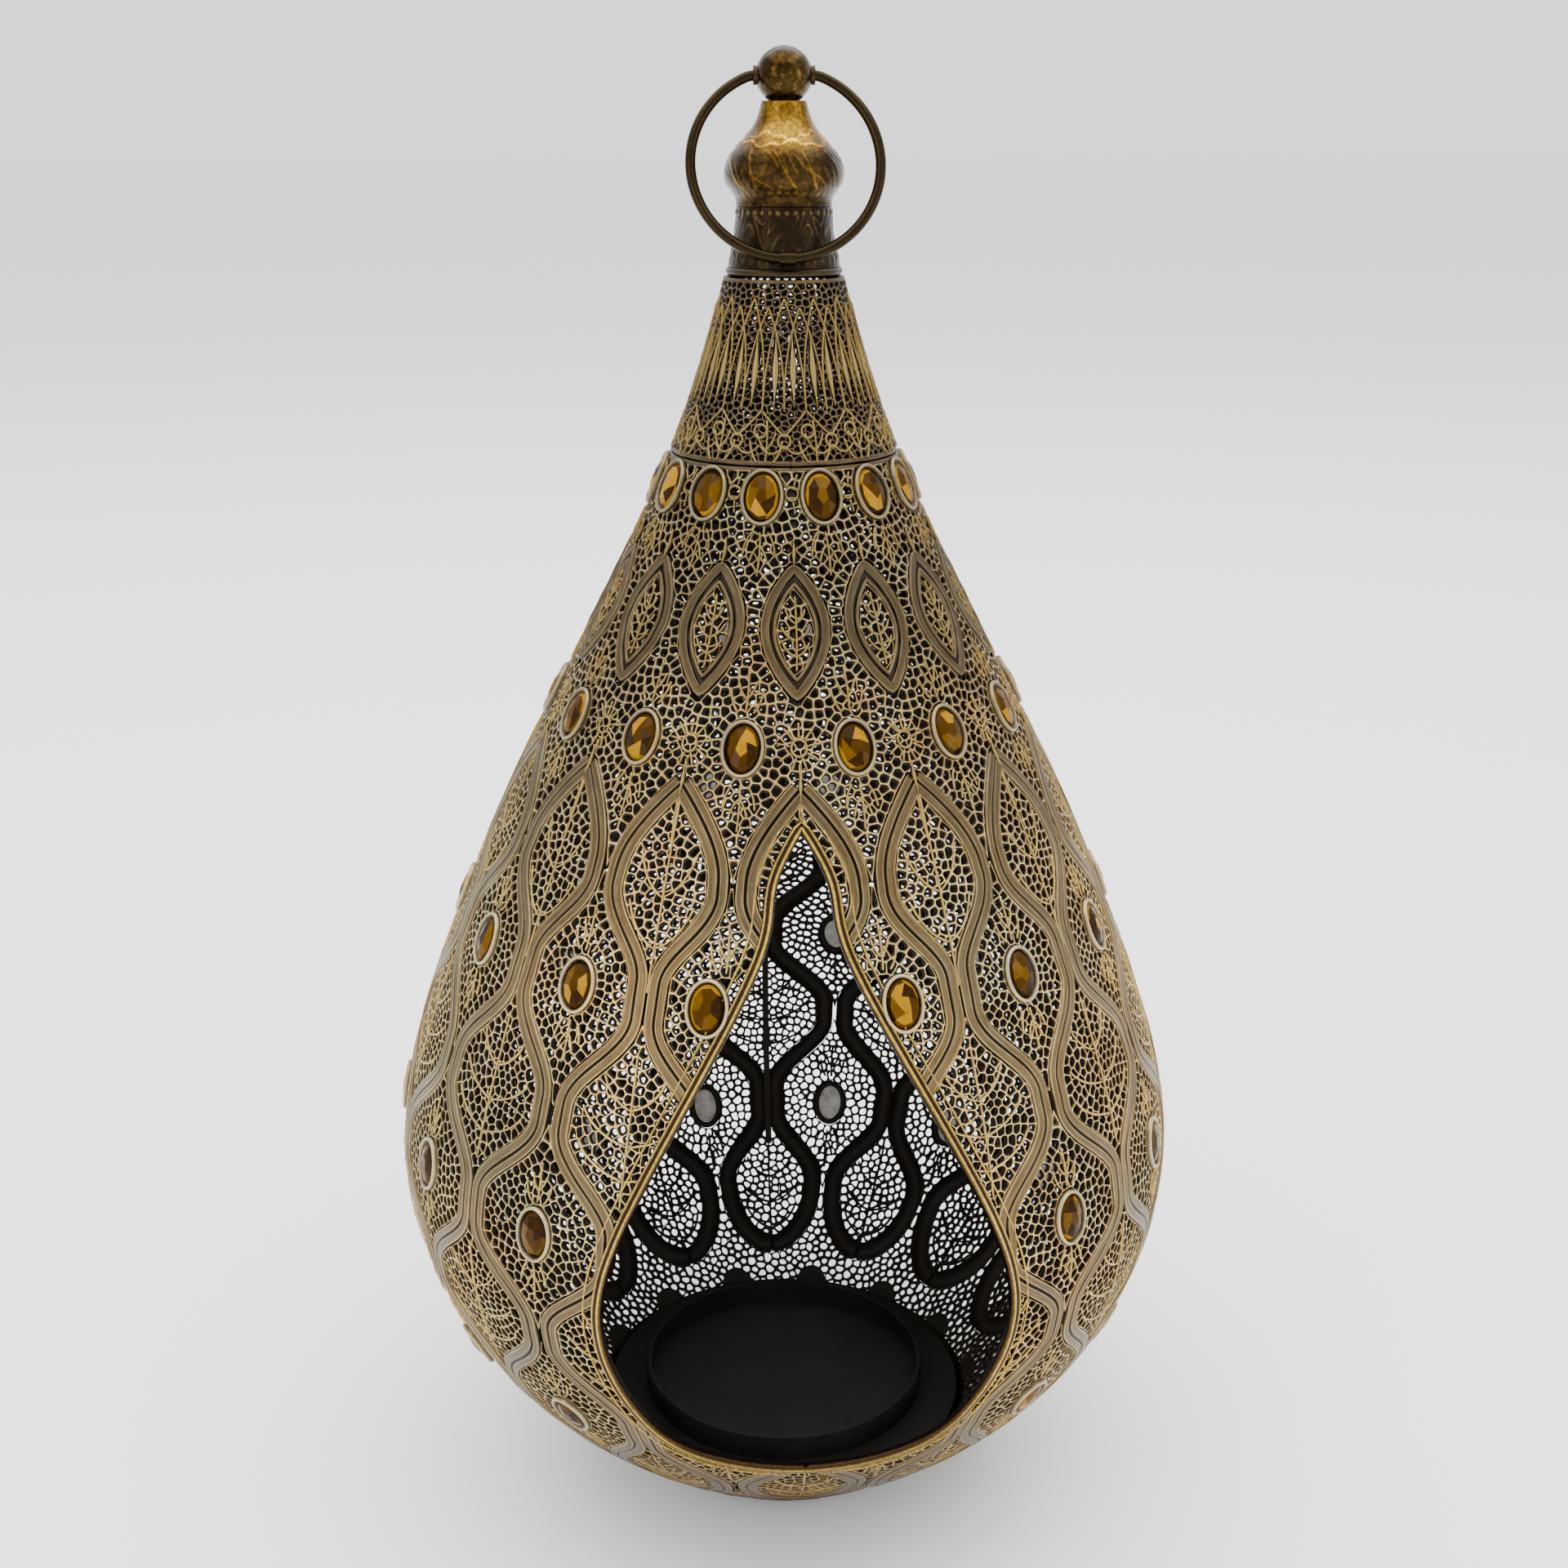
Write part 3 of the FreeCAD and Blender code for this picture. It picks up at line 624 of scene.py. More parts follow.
def add_cell(builder, cell, strand, roundness, rise=0.6, shade=1.0):
    """One hole with the ridge around it: the ridge's crest runs along the cell's edges, the rim lies
    lower, and the hole's wall goes through to the back. A shade below 1 makes its tones darker, as painted
    shade."""
    middle = polygon_centre(cell)
    scale = wall.scale(middle[1])
    corners = len(cell)
    span = np.roll(cell, -1, axis=0) - cell
    lengths = np.linalg.norm(span, axis=1)
    arm = middle - cell
    apothem = np.abs(span[:, 0] * arm[:, 1] - span[:, 1] * arm[:, 0]) / np.maximum(lengths, 1e-9)
    reach = max(np.median(apothem), 1e-9) * scale
    shrink = 1 - 0.5 * strand / reach
    if shrink < SMALLEST_HOLE:
        points = wall.point(cell[:, 0], cell[:, 1], np.full(corners, rise * 0.7))
        back = wall.point(cell[:, 0], cell[:, 1], np.full(corners, -SKIN))
        builder.add(np.concatenate([points, back]),
                    [list(range(corners)), list(range(2 * corners - 1, corners - 1, -1))], [0, 1],
                    [SHOULDER * shade] * corners + [DEEP] * corners)
        return
    hole = shrink * (cell - middle)
    length = np.linalg.norm(hole, axis=1)[:, None]
    circle = hole / np.maximum(length, 1e-9) * min(reach - 0.5 * strand, 0.82 * reach) / scale
    hole = middle + hole + roundness * (circle - hole)
    rim = cut_corners(hole)
    shoulder = rim + SHOULDER_OUT * (cut_corners(cell) - rim)
    flat = [(cell, rise), (shoulder, rise * SHOULDER_RISE), (rim, 0.0), (rim, -SKIN), (cell, -SKIN)]
    points = [wall.point(p[:, 0], p[:, 1], np.full(len(p), height)) for p, height in flat]
    tones = [CREST * shade] * corners + [SHOULDER * shade] * 2 * corners
    tones += [RIM * shade] * 2 * corners + [DEEP] * 3 * corners
    u0, l0, d0, b0 = corners, 3 * corners, 5 * corners, 7 * corners
    faces, kinds = [], []
    for k in range(corners):
        j = (k + 1) % corners
        a, b, before = 2 * k, 2 * k + 1, (2 * k - 1) % (2 * corners)
        faces += [[k, j, u0 + b, u0 + a], [k, u0 + a, u0 + before]]
        faces += [[b0 + j, b0 + k, d0 + a, d0 + b], [b0 + k, d0 + before, d0 + a]]
        kinds += [0, 0, 1, 1]
    for k in range(2 * corners):
        j = (k + 1) % (2 * corners)
        faces += [[u0 + k, u0 + j, l0 + j, l0 + k], [l0 + k, l0 + j, d0 + j, d0 + k]]
        kinds += [0, 2]
    builder.add(np.concatenate(points), faces, kinds, tones)


# Heights in mm at which the tiers of openwork end.
TIER_TOPS = [85, 125, 175, 235, 400]


def piece_key(angle, z):
    """Which half and tier of the openwork a place belongs to."""
    side = "right" if math.sin(angle) > 0 else "left"
    tier = next(number for number, top in enumerate(TIER_TOPS, start=1) if z < top)
    return f"{side}_{tier}"


def sector_angle(sector):
    return sector * STEP if sector <= SECTORS // 2 else (sector - SECTORS) * STEP


def body_openwork(builders):
    """The cells of one sector, copied around and clipped at the doorway."""
    field = Field(body_features, SOLID_TOP_Z, SEAM_Z, PITCH)
    for cell in field.cells():
        if cell is None or len(cell) < 3:
            continue
        strand = STRAND * RANDOM.uniform(0.75, 1.3)
        height = wall.z_of(cell[0, 1])
        strand *= 1 + STRAND_GROWTH * np.clip((height - GROWTH_FROM) / GROWTH_OVER, 0, 1)
        roundness = RANDOM.choice([0.15, 0.4, 1.0], p=[0.45, 0.35, 0.2])
        for sector in range(SECTORS):
            moved = cell + (sector_angle(sector), 0)
            middle = polygon_centre(moved)
            z = wall.z_of(middle[1])
            if near_door(middle[0], z):
                moved = clip_at_door(moved, middle)
            if moved is not None:
                add_cell(builders[piece_key(middle[0], z)], moved, strand, roundness)


def cone_openwork(builders):
    """The cone's finer netting, with a ladder of round holes in each sector."""
    pins = [(0.0, wall.t_of(z)) for z in LADDER]
    field = Field(cone_features, SEAM_Z + 1.5, CONE_TOP_Z - 1.4, CONE_PITCH, pins)
    for number, cell in enumerate(field.cells()):
        if cell is None or len(cell) < 3:
            continue
        strand, roundness = (LADDER_STRAND, 1.0) if number < len(LADDER) else (CONE_STRAND, 0.4)
        for sector in range(SECTORS):
            moved = cell + (sector_angle(sector) + CONE_TURN, 0)
            side = "right" if math.sin(polygon_centre(moved)[0]) > 0 else "left"
            add_cell(builders[f"cone_{side}"], moved, strand, roundness, shade=CONE_SHADE)


# ---------- raised bands and wires
# Across a band: place as a share of its half width, rise above the wall in mm, and tone, a painted highlight
# on the ridges and painted shade in the grooves.
BAND_SECTION = [
    (-1, -SKIN, 0), (-1, 0.20, 0), (-0.90, 0.40, 0), (-0.86, 1.0, 0.75), (-0.80, 1.14, 1.05),
    (-0.73, 1.02, 0.6), (-0.58, 0.92, 0.48), (-0.25, 0.98, 0.52), (-0.12, 1.08, 0.85), (-0.06, 1.0, 0.4),
    (-0.02, 0.25, 0), (0.15, 0.25, 0), (0.19, 1.0, 0.5), (0.25, 1.10, 0.95), (0.34, 0.98, 0.52),
    (0.62, 0.92, 0.48), (0.76, 1.02, 0.6), (0.82, 1.12, 1.05), (0.87, 0.95, 0.75), (0.91, 0.40, 0),
    (1, 0.20, 0), (1, -SKIN, 0)]
WIRE_SECTION = [(-1, -0.1, 0.1), (-0.8, 0.62, 0.6), (0, 1.0, 1), (0.8, 0.62, 0.6), (1, -0.1, 0.1)]
BAR_SECTION = [(-1, -SKIN, 0), (-1, 0.3, 0.3), (-0.6, 0.85, 0.9), (0, 0.95, 1), (0.6, 0.85, 0.9),
               (1, 0.3, 0.3), (1, -SKIN, 0)]
ALMOND_BED = [(-1, -SKIN, 0), (-1, 0.2, 0.1), (0, 0.25, 0.2), (1, 0.2, 0.1), (1, -SKIN, 0)]
ALMOND_OUTSIDE = [
    (-1, -SKIN, 0), (-1, 0.2, 0), (-0.82, 0.4, 0), (-0.74, 1.0, 0.9), (-0.6, 0.9, 0.55), (0.1, 0.85, 0.5),
    (0.45, 0.9, 0.55), (0.66, 1.2, 1.05), (0.80, 0.4, 0), (1, 0.2, 0), (1, -SKIN, 0)]
ALMOND_INSIDE = [(-1, -SKIN, 0), (-1, 0.3, 0), (-0.6, 0.9, 0.85), (0.2, 0.95, 0.75), (0.8, 0.4, 0.1),
                 (1, -SKIN, 0)]
RIM_SECTION = [(-1, -SKIN, 0), (-1, 0.1, 0.1), (-0.5, 0.55, 0.6), (0.5, 0.55, 0.6), (1, 0.1, 0.1),
               (1, -SKIN, 0)]


def cut_at_door(flat):
    """Moves the points that lie in the doorway to its edge, and says which they are."""
    gone = np.zeros(len(flat), bool)
    near = np.nonzero(near_door(flat[:, 0], wall.z_of(flat[:, 1])))[0]
    if len(near):
        signed, edge, _ = door_distance(flat[near, 0], flat[near, 1])
        gone[near[signed < 0]] = True
        flat[near[signed < 0]] = edge[signed < 0]
    return gone


def grid_faces(rows, across, closed, outward):
    """Quads of a grid of points whose section closes on itself, with its ends capped unless the rows
    close too. Each face comes with whether it is the section's closing one."""
    step = 1 if outward else -1
    faces = []
    for k in range(rows if closed else rows - 1):
        j = (k + 1) % rows
        for m in range(across):
            n = (m + 1) % across
            quad = [k * across + m, j * across + m, j * across + n, k * across + n]
            faces.append((quad[::step], m == across - 1))
    if not closed:
        faces.append((list(range(across))[::step], False))
        faces.append((list(range((rows - 1) * across, rows * across))[::-step], False))
    return faces


def ribbon(builder, line, half, section=BAND_SECTION, closed=False, flip=False, taper=0.0, wobble=0.12,
           seed=0, height=1.0, column=None):
    """A raised band along a line of (angle, t) points, cut off at the doorway's edge. The section's
    places run from one side of the line to the other. A band with a column, given as its angle and the
    side it keeps to, is mitred there against its mirror image."""
    line = np.asarray(line)
    count, across = len(line), len(section)
    slope = np.roll(line, -1, axis=0) - np.roll(line, 1, axis=0) if closed else np.gradient(line, axis=0)
    normal = np.stack([slope[:, 1], -slope[:, 0]], 1) * (-1 if flip else 1)
    normal /= np.maximum(np.linalg.norm(normal, axis=1), 1e-9)[:, None]
    scale = wall.scale(line[:, 1])
    steps = np.hypot(*np.diff(line, axis=0).T) * scale[1:]
    length = np.concatenate([[0], np.cumsum(steps)])
    share = length / length[-1]
    width = half * (1 + wobble * 0.5 * np.sin(share * 31 + seed) * np.sin(share * 13 + 2 * seed))
    if taper:
        width = width * np.clip(np.minimum(share, 1 - share) / taper, 0.15, 1)
    places, rises, tones = np.array(section, float).T
    grid = line[:, None, :] + normal[:, None, :] * (places[None, :, None] * (width / scale)[:, None, None])
    rise = np.tile(np.where(rises > 0, rises * height, rises), (count, 1))
    drift = 0.06 * np.sin(share[:, None] * 57 + places[None, :] * 5 + seed)
    rise[:, 2:-2] += drift[:, 2:-2]
    flat = grid.reshape(-1, 2)
    if column:
        middle, side = column
        flat[:, 0] = middle + side * np.maximum(side * (flat[:, 0] - middle), 0)
    gone = cut_at_door(flat)
    grain = np.stack([np.repeat(length, across), np.tile(places * half, count),
                      np.full(count * across, seed * 7.0)], 1)
    faces, kinds = [], []
    for corners, back in grid_faces(count, across, closed, flip):
        if not all(gone[c] for c in corners):
            faces.append(corners)
            kinds.append(1 if back else 0)
    if faces:
        points = wall.point(flat[:, 0], flat[:, 1], rise.ravel())
        builder.add(points, faces, kinds, np.tile(tones, count), grain)


def wire(builder, line, half, wobble=0.2, **options):
    """A thin raised wire along a line."""
    ribbon(builder, line, half, WIRE_SECTION, wobble=wobble, **options)


def turned(line, angle, mirror=False):
    """A line carried around the lantern, mirrored about its column first if asked."""
    return np.asarray(line) * (-1 if mirror else 1, 1) + (angle, 0)


def side_of(angle):
    return "right" if math.sin(angle) > 0 else "left"


def almond_loop(inset):
    right = resample(almond_line(inset), 1.0)
    return np.concatenate([right, right[-2:0:-1] * (-1, 1)])


def bands(wave_builders, almond_builders):
    """Every wavy band, and the almonds' borders: a low bed with a wide and a narrow ridge on it."""
    for sector in range(SECTORS):
        angle = sector_angle(sector)
        for mirror in (False, True):
            line = turned(WAVE_LINE, angle, mirror)
            side = side_of(angle + (-0.1 if mirror else 0.1))
            ribbon(wave_builders[side], line, BAND_HALF, flip=not mirror, seed=sector * 2 + mirror,
                   column=(angle, -1 if mirror else 1))
        builder = almond_builders[side_of(angle + 0.01)]
        ribbon(builder, turned(almond_loop(2.9), angle), 2.3, ALMOND_BED, closed=True, wobble=0)
        for inset, half, section in ((1.6, 1.6, ALMOND_OUTSIDE), (4.1, 0.8, ALMOND_INSIDE)):
            loop = turned(almond_loop(inset), angle)
            ribbon(builder, loop, half, section, closed=True, wobble=0.05, seed=sector)


def curve(start, bend, end, points=8):
    """A bowed line between two places given as (mm beside the middle, height)."""
    share = np.linspace(0, 1, points)[:, None]
    start, bend, end = (np.array(p, float) for p in (start, bend, end))
    flat = (1 - share) ** 2 * start + 2 * share * (1 - share) * bend + share ** 2 * end
    return wall_line(flat[:, 0] / wall.radius(flat[:, 1]), flat[:, 1])


def leaf_veins(middle, tall, half_at):
    """A stem with three pairs of branches, for a leaf of some half height whose half width in mm is
    given at each height."""
    lines = [curve((0, middle - tall), (0.5, middle), (0, middle + tall), 16)]
    for share in (-0.62, -0.18, 0.28):
        low = middle + share * tall
        high = low + 0.38 * tall
        for side in (-1, 1):
            end = side * 0.85 * max(half_at(high), 0.5)
            lines.append(curve((0, low), (end * 0.7, low + 0.08 * tall), (end, high)))
    return lines


# The rosettes of a column: the middle's height, the ring's radius and half width, and the rays' inner and
# outer ends, number and turn.
ROSETTES = [(ROW_Z[2] + 0.5, 2.2, 0.5, 2.6, 6.4, 9, 0.0), (ROW_Z[1] + 1.0, 1.8, 0.45, 2.2, 5.4, 7, 0.3)]


def ray_veins(middle, inner, outer, count, turn):
    """Short rays around a place."""
    lines = []
    for way in turn + 2 * math.pi * np.arange(count) / count:
        across, up = math.sin(way), math.cos(way)
        bend = outer * 0.6
        lines.append(curve((across * inner, middle + up * inner), (across * bend, middle + up * bend + 0.3),
                           (across * outer, middle + up * outer), 5))
    return lines


# Half heights of a column's leaves, from the top.
LEAF_TALL = [30.0, 21.0, 21.0, 16.0]
VEIN_HALF = 0.4


def column_veins():
    """The veins in the leaves between a column's pair of bands, in its almond and in its rosettes."""
    def in_almond(z):
        share = (z - ALMOND_Z) / (ALMOND_REACH - ALMOND_TAPER * ALMOND_BAND)
        return (ALMOND_HALF - ALMOND_BAND) * math.cos(min(abs(share), 1) * math.pi / 2) - VEIN_HALF

    def in_leaf(z):
        return wave_angle(z) * wall.radius(z) - BAND_HALF - VEIN_HALF

    lines = leaf_veins(ALMOND_Z - 0.5, ALMOND_REACH - 9.5, in_almond)
    for middle, tall in zip(WIDE_Z, LEAF_TALL):
        lines += leaf_veins(middle, tall, in_leaf)
    for middle, _, _, inner, outer, count, turn in ROSETTES:
        lines += ray_veins(middle, inner, outer, count, turn)
    return lines


def between_veins():
    """The veins above and below each stone, midway between two columns."""
    lines = []
    for z in ROW_Z.values():
        for way in (-1, 1):
            def place(across, along):
                return across, z + way * (BEZEL_LONG + 0.6 + along)

            lines.append(curve(place(0, 0), place(0.6, 5), place(0, 11.5), 10))
            for side in (-1, 1):
                lines.append(curve(place(side * 2.2, 0), place(side * 4.2, 2), place(side * 4.6, 6)))
                lines.append(curve(place(0, 3.5), place(side * 1.6, 4.5), place(side * 2.6, 8)))
    return lines


def ring_wire(middle, radius, points=14):
    """A small ring around a place, as a closed line."""
    turn = np.linspace(0, 2 * math.pi, points, endpoint=False)
    z = middle + radius * np.cos(turn)
    return wall_line(radius * np.sin(turn) / wall.radius(z), z)


BUD_BELOW, BUD_ABOVE = 2.5, 5.0


def veins(builders):
    """Raised gold wires over the openwork, with a bud on each tip of the bands and almonds."""
    for sector in range(SECTORS):
        angle = sector_angle(sector)
        for shift, lines in ((0.0, column_veins()), (STEP / 2, between_veins())):
            builder = builders[side_of(angle + shift + 0.01)]
            for number, line in enumerate(lines):
                wire(builder, turned(line, angle + shift), 0.44, wobble=0.5, seed=number)
        builder = builders[side_of(angle + 0.01)]
        for tip in (TIP_Z, ALMOND_Z + ALMOND_REACH):
            bud = curve((0, tip - BUD_BELOW), (0.2, tip + 1.0), (0, tip + BUD_ABOVE))
            wire(builder, turned(bud, angle), 0.85, wobble=0, taper=0.5, height=1.5)
        for middle, radius, half, *_ in ROSETTES:
            wire(builder, turned(ring_wire(middle, radius), angle), half, wobble=0.1, closed=True)


# The cone's wires, in mm above the seam: the arches' feet and their two heights, the zigzag's depth, and
# the scallops' top and depth.
ARCH_FOOT, ARCH_HIGH, ARCH_LOW, ZIGZAG_DEEP, SCALLOP_TOP, SCALLOP_DEEP = 15, 30.5, 28, 7, 5.6, 2.2


def cone_wires(builders):
    """The cone's petals, pointed arches, zigzag, scallops and ring flowers."""
    share = np.linspace(0, 1, 16)
    half_step = np.linspace(0, 1, 9)
    for sector in range(SECTORS):
        angle = sector_angle(sector) + CONE_TURN
        builder = builders[side_of(angle)]
        for side in (-1, 1):
            petal = wall_line(side * PETAL_ANGLE, PETAL_Z + PETAL_LONG * np.linspace(-1, 1, 16))
            ribbon(builder, turned(petal, angle), PETAL_SHORT, BAR_SECTION, taper=0.45, wobble=0.05)
            lines = []
            for foot, peak, tall in ((0.0, 0.5, ARCH_HIGH), (0.5, 0.0, ARCH_LOW)):
                aside = side * (foot + (peak - foot) * share ** 2.2) * STEP
                lines.append((wall_line(aside, SEAM_Z + ARCH_FOOT + tall * share ** 0.8), 0.38))
            aside = side * half_step * STEP / 2
            lines.append((wall_line(aside, SEAM_Z + ARCH_FOOT - ZIGZAG_DEEP * half_step), 0.42))
            dip = SCALLOP_DEEP * np.sin(half_step * math.pi)
            lines.append((wall_line(aside, SEAM_Z + SCALLOP_TOP - dip), 0.4))
            for line, half in lines:
                wire(builder, turned(line, angle), half, seed=sector)
        for shift, z in ((0.0, FLOWER_Z + 1.5), (STEP / 2, FLOWER_Z - 1.2)):
            wire(builder, turned(ring_wire(z, 1.8), angle + shift), 0.5, wobble=0.1, closed=True)


def end_rims(builders):
    """The plain rims at the seam below the cone and at the cone's ends."""
    for side, sign in (("right", 1), ("left", -1)):
        for z, half in ((SEAM_Z - 0.9, 0.9), (SEAM_Z + 0.9, 0.9), (CONE_TOP_Z - 0.8, 0.6)):
            line = wall_line(np.linspace(0, math.pi * sign, 90), z)
            ribbon(builders[side], line, half, RIM_SECTION, wobble=0)


# ---------- solid embossed foot
def line_at(value, width):
    """A soft line of some width where a value is zero."""
    return np.exp(-(value / width) ** 2)


def around_faces(rows, columns):
    """Quads of a grid of points that closes around itself, facing outwards."""
    faces = []
    for r in range(rows - 1):
        for c in range(columns):
            d = (c + 1) % columns
            faces.append([r * columns + c, r * columns + d, (r + 1) * columns + d, (r + 1) * columns + c])
    return faces


# How far the foot reaches up under the openwork, in mm.
FOOT_LAP = 0.7


def foot_bowl():
    """The solid foot of the wall: round humps along its top, a doubled line under them, and fans of
    veins and a row of beads pressed into it."""
    rows, columns = 44, SECTORS * 56
    share = np.linspace(0, 1, rows)[:, None]
    angle = np.linspace(0, 2 * math.pi, columns, endpoint=False)[None, :]
    low = wall.t_of(0.6)
    top = wall.t_of(solid_top(angle) + FOOT_LAP)
    t = low + share * (top - low)
    angle = np.broadcast_to(angle, t.shape)
    z = wall.z_of(t)
    below = solid_top(angle) + FOOT_LAP - z
    across = ((angle / STEP) % 1 - 0.5) * STEP * wall.scale(t)
    lines = line_at(below - 1.3, 0.7) + 0.7 * line_at(below - 3.8, 0.55)
    way = np.arctan2(across, np.maximum(z - 3.0, 0.1))
    fan = 0.55 * np.clip(np.cos(way * 11), 0, 1) ** 3
    fan = fan * np.clip((below - 4.5) / 2, 0, 1) * np.clip((z - 4) / 3, 0, 1)
    beads = 0.6 * line_at(z - 2.6, 1.0) * (0.5 + 0.5 * np.cos(angle * SECTORS * 8))
    raised = np.clip(lines + fan + beads, 0, 1.2)
    rise = (0.2 + 0.8 * raised) * np.clip((z - 0.5) / 2, 0, 1)
    front = wall.point(angle.ravel(), t.ravel(), rise.ravel())
    back = wall.point(angle.ravel(), t.ravel(), np.full(angle.size, -SKIN))
    size = rows * columns
    last = size - columns
    faces = around_faces(rows, columns)
    kinds = [0] * len(faces) + [1] * len(faces) + [0] * 2 * columns
    faces += [[size + i for i in reversed(quad)] for quad in faces]
    for c in range(columns):
        d = (c + 1) % columns
        faces += [[c, size + c, size + d, d], [last + c, last + d, size + last + d, size + last + c]]
    # The tone puts a painted highlight on the raised lines, fans and beads and painted shade on the flat
    # between them; the back is dark.
    tones = np.concatenate([0.12 + 0.85 * raised.ravel(), np.zeros(size)])
    return np.concatenate([front, back]), faces, kinds, tones


# ---------- embossed turned pieces
def turned_relief(name, node, relief, material, rows, columns=288):
    """A round piece with the outline of a CAD node and a relief on it. The relief gives mm of rise and a
    tone from the angle and the share of the height; the tone puts a painted highlight on what is raised."""
    low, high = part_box(node)
    z = np.linspace(low[2] / MM + 0.05, high[2] / MM - 0.05, rows)
    outline = radii_of(cad_tree(node), z, [7, 97, 187, 277])
    angle = np.linspace(0, 2 * math.pi, columns, endpoint=False)
    share = (z - z[0]) / (z[-1] - z[0])
    rise, tone = relief(angle[None, :], share[:, None])
    radius = outline[:, None] + rise * np.clip(np.minimum(share, 1 - share) * 25, 0, 1)[:, None]
    heights = np.broadcast_to(z[:, None], radius.shape)
    points = np.stack([radius * np.sin(angle), -radius * np.cos(angle), heights], -1)
    faces = around_faces(rows, columns)
    faces.append(list(range(columns))[::-1])
    faces.append(list(range((rows - 1) * columns, rows * columns)))
    return make_object(name, points.reshape(-1, 3) * MM, faces, [material],
                       tones=np.broadcast_to(tone, radius.shape).ravel())


def pear_relief(angle, share):
    """Curled leaves scratched over the belly, two wavy wrinkles at the shoulder and a plain neck, with
    faint beads under the belly."""
    sway = 0.05 * np.sin(angle * 5 + 1) + 0.03 * np.sin(angle * 13)
    across = np.abs((angle * 6 / (2 * math.pi) + share * 0.9) % 1 - 0.5) * 2
    belly = np.clip((share - 0.14) / 0.05, 0, 1) * np.clip((0.56 - share) / 0.05, 0, 1)
    leaf = line_at(across - 0.35 - 0.5 * (share - 0.2) - sway, 0.05) * belly
    twigs = 0.8 * np.clip(np.sin(angle * 31 + 40 * share + 3 * np.sin(angle * 7)), 0, 1) ** 4 * belly
    twigs = twigs * (np.sin(angle * 4 + share * 18) > -0.1)
    wrinkles = line_at(share - 0.60 - sway * 0.5, 0.014) + 0.7 * line_at(share - 0.67 + sway * 0.6, 0.011)
    beads = 0.6 * line_at(share - 0.12, 0.02) * (0.5 + 0.5 * np.cos(angle * 40))
    raised = np.clip(leaf + twigs + wrinkles + beads, 0, 1)
    # The tone is lighter towards the neck, and the raised lines get a painted highlight.
    bright = 0.24 + 0.42 * np.clip((share - 0.48) / 0.15, 0, 1)
    return 0.22 * raised, bright + 0.34 * raised


def collar_relief(angle, share):
    """Rows of beads with fine curled leaves between them."""
    rows = 0.5 * line_at(share - 0.12, 0.06) + line_at(share - 0.90, 0.04)
    beads = rows * (0.5 + 0.5 * np.cos(angle * 36))
    leaves = np.clip(np.sin(angle * 20 + 2.8 * np.sin(share * 11 + 2 * np.sin(angle * 10))), 0, 1) ** 3
    leaves = leaves * (0.45 + 0.35 * np.sin(angle * 5 + share * 7))
    leaves = leaves * np.clip((0.38 - np.abs(share - 0.5)) / 0.05, 0, 1)
    raised = np.clip(beads + leaves, 0, 1)
    return 0.32 * raised, 0.14 + 0.58 * raised


# ---------- materials
class Look:
    """A material being made, with short ways to add nodes to it."""

    def __init__(self, name):
        self.material = bpy.data.materials.new(name)
        self.material.use_nodes = True
        self.nodes = self.material.node_tree.nodes
        self.links = self.material.node_tree.links

    def put(self, value, socket):
        """Puts a number, a colour or another node's output on a socket."""
        if isinstance(value, bpy.types.NodeSocket):
            self.links.new(value, socket)
        else:
            socket.default_value = (*value, 1) if socket.type == "RGBA" else value

    def add(self, kind, inputs, output, **settings):
        """Adds a node, fills its inputs and gives one of its outputs."""
        node = self.nodes.new(f"ShaderNode{kind}")
        for key, value in settings.items():
            setattr(node, key, value)
        for key, value in inputs.items():
            self.put(value, node.inputs[key])
        return node.outputs[output]

    def place(self):
        """The place on the object."""
        return self.add("TexCoord", {}, "Object")

    def tone(self):
        """The surface's tone: painted shade in the hollows, a painted highlight on the crests."""
        return self.add("Attribute", {}, "Fac", attribute_name="tone")

    def noise(self, scale, detail=4.0, roughness=0.55, distortion=0.0, source=None):
        inputs = {"Vector": self.place() if source is None else source, "Scale": scale, "Detail": detail,
                  "Roughness": roughness, "Distortion": distortion}
        return self.add("TexNoise", inputs, "Fac")

    def streaks(self):
        """Noise drawn out along a band."""
        grain = self.add("Attribute", {}, "Vector", attribute_name="grain")
        long_grain = self.add("Mapping", {"Vector": grain, "Scale": (0.12, 1.5, 1.0)}, "Vector")
        return self.noise(1.0, 5.0, 0.6, 0.6, long_grain)

    def math(self, operation, *values):
        return self.add("Math", dict(enumerate(values)), "Value", operation=operation)

    def ramp(self, value, stops):
        node = self.nodes.new("ShaderNodeValToRGB")
        while len(node.color_ramp.elements) < len(stops):
            node.color_ramp.elements.new(0.5)
        for element, (place, colour) in zip(node.color_ramp.elements, stops):
            element.position = place
            element.color = (*colour, 1)
        self.links.new(value, node.inputs["Fac"])
        return node.outputs["Color"]

    def tint(self, colour, by, share=1.0):
        """A colour multiplied by another, wholly or by a share."""
        node = self.nodes.new("ShaderNodeMix")
        node.data_type = "RGBA"
        node.blend_type = "MULTIPLY"
        sockets = {socket.identifier: socket for socket in node.inputs}
        for value, name in ((share, "Factor_Float"), (colour, "A_Color"), (by, "B_Color")):
            self.put(value, sockets[name])
        return next(s for s in node.outputs if s.identifier == "Result_Color")

    def bump(self, height, strength, distance):
        return self.add("Bump", {"Strength": strength, "Distance": distance, "Height": height}, "Normal")

    def make(self, finish):
        """Fills the shader's sockets and gives the material."""
        for key, value in finish.items():
            self.put(value, self.nodes["Principled BSDF"].inputs[key])
        return self.material
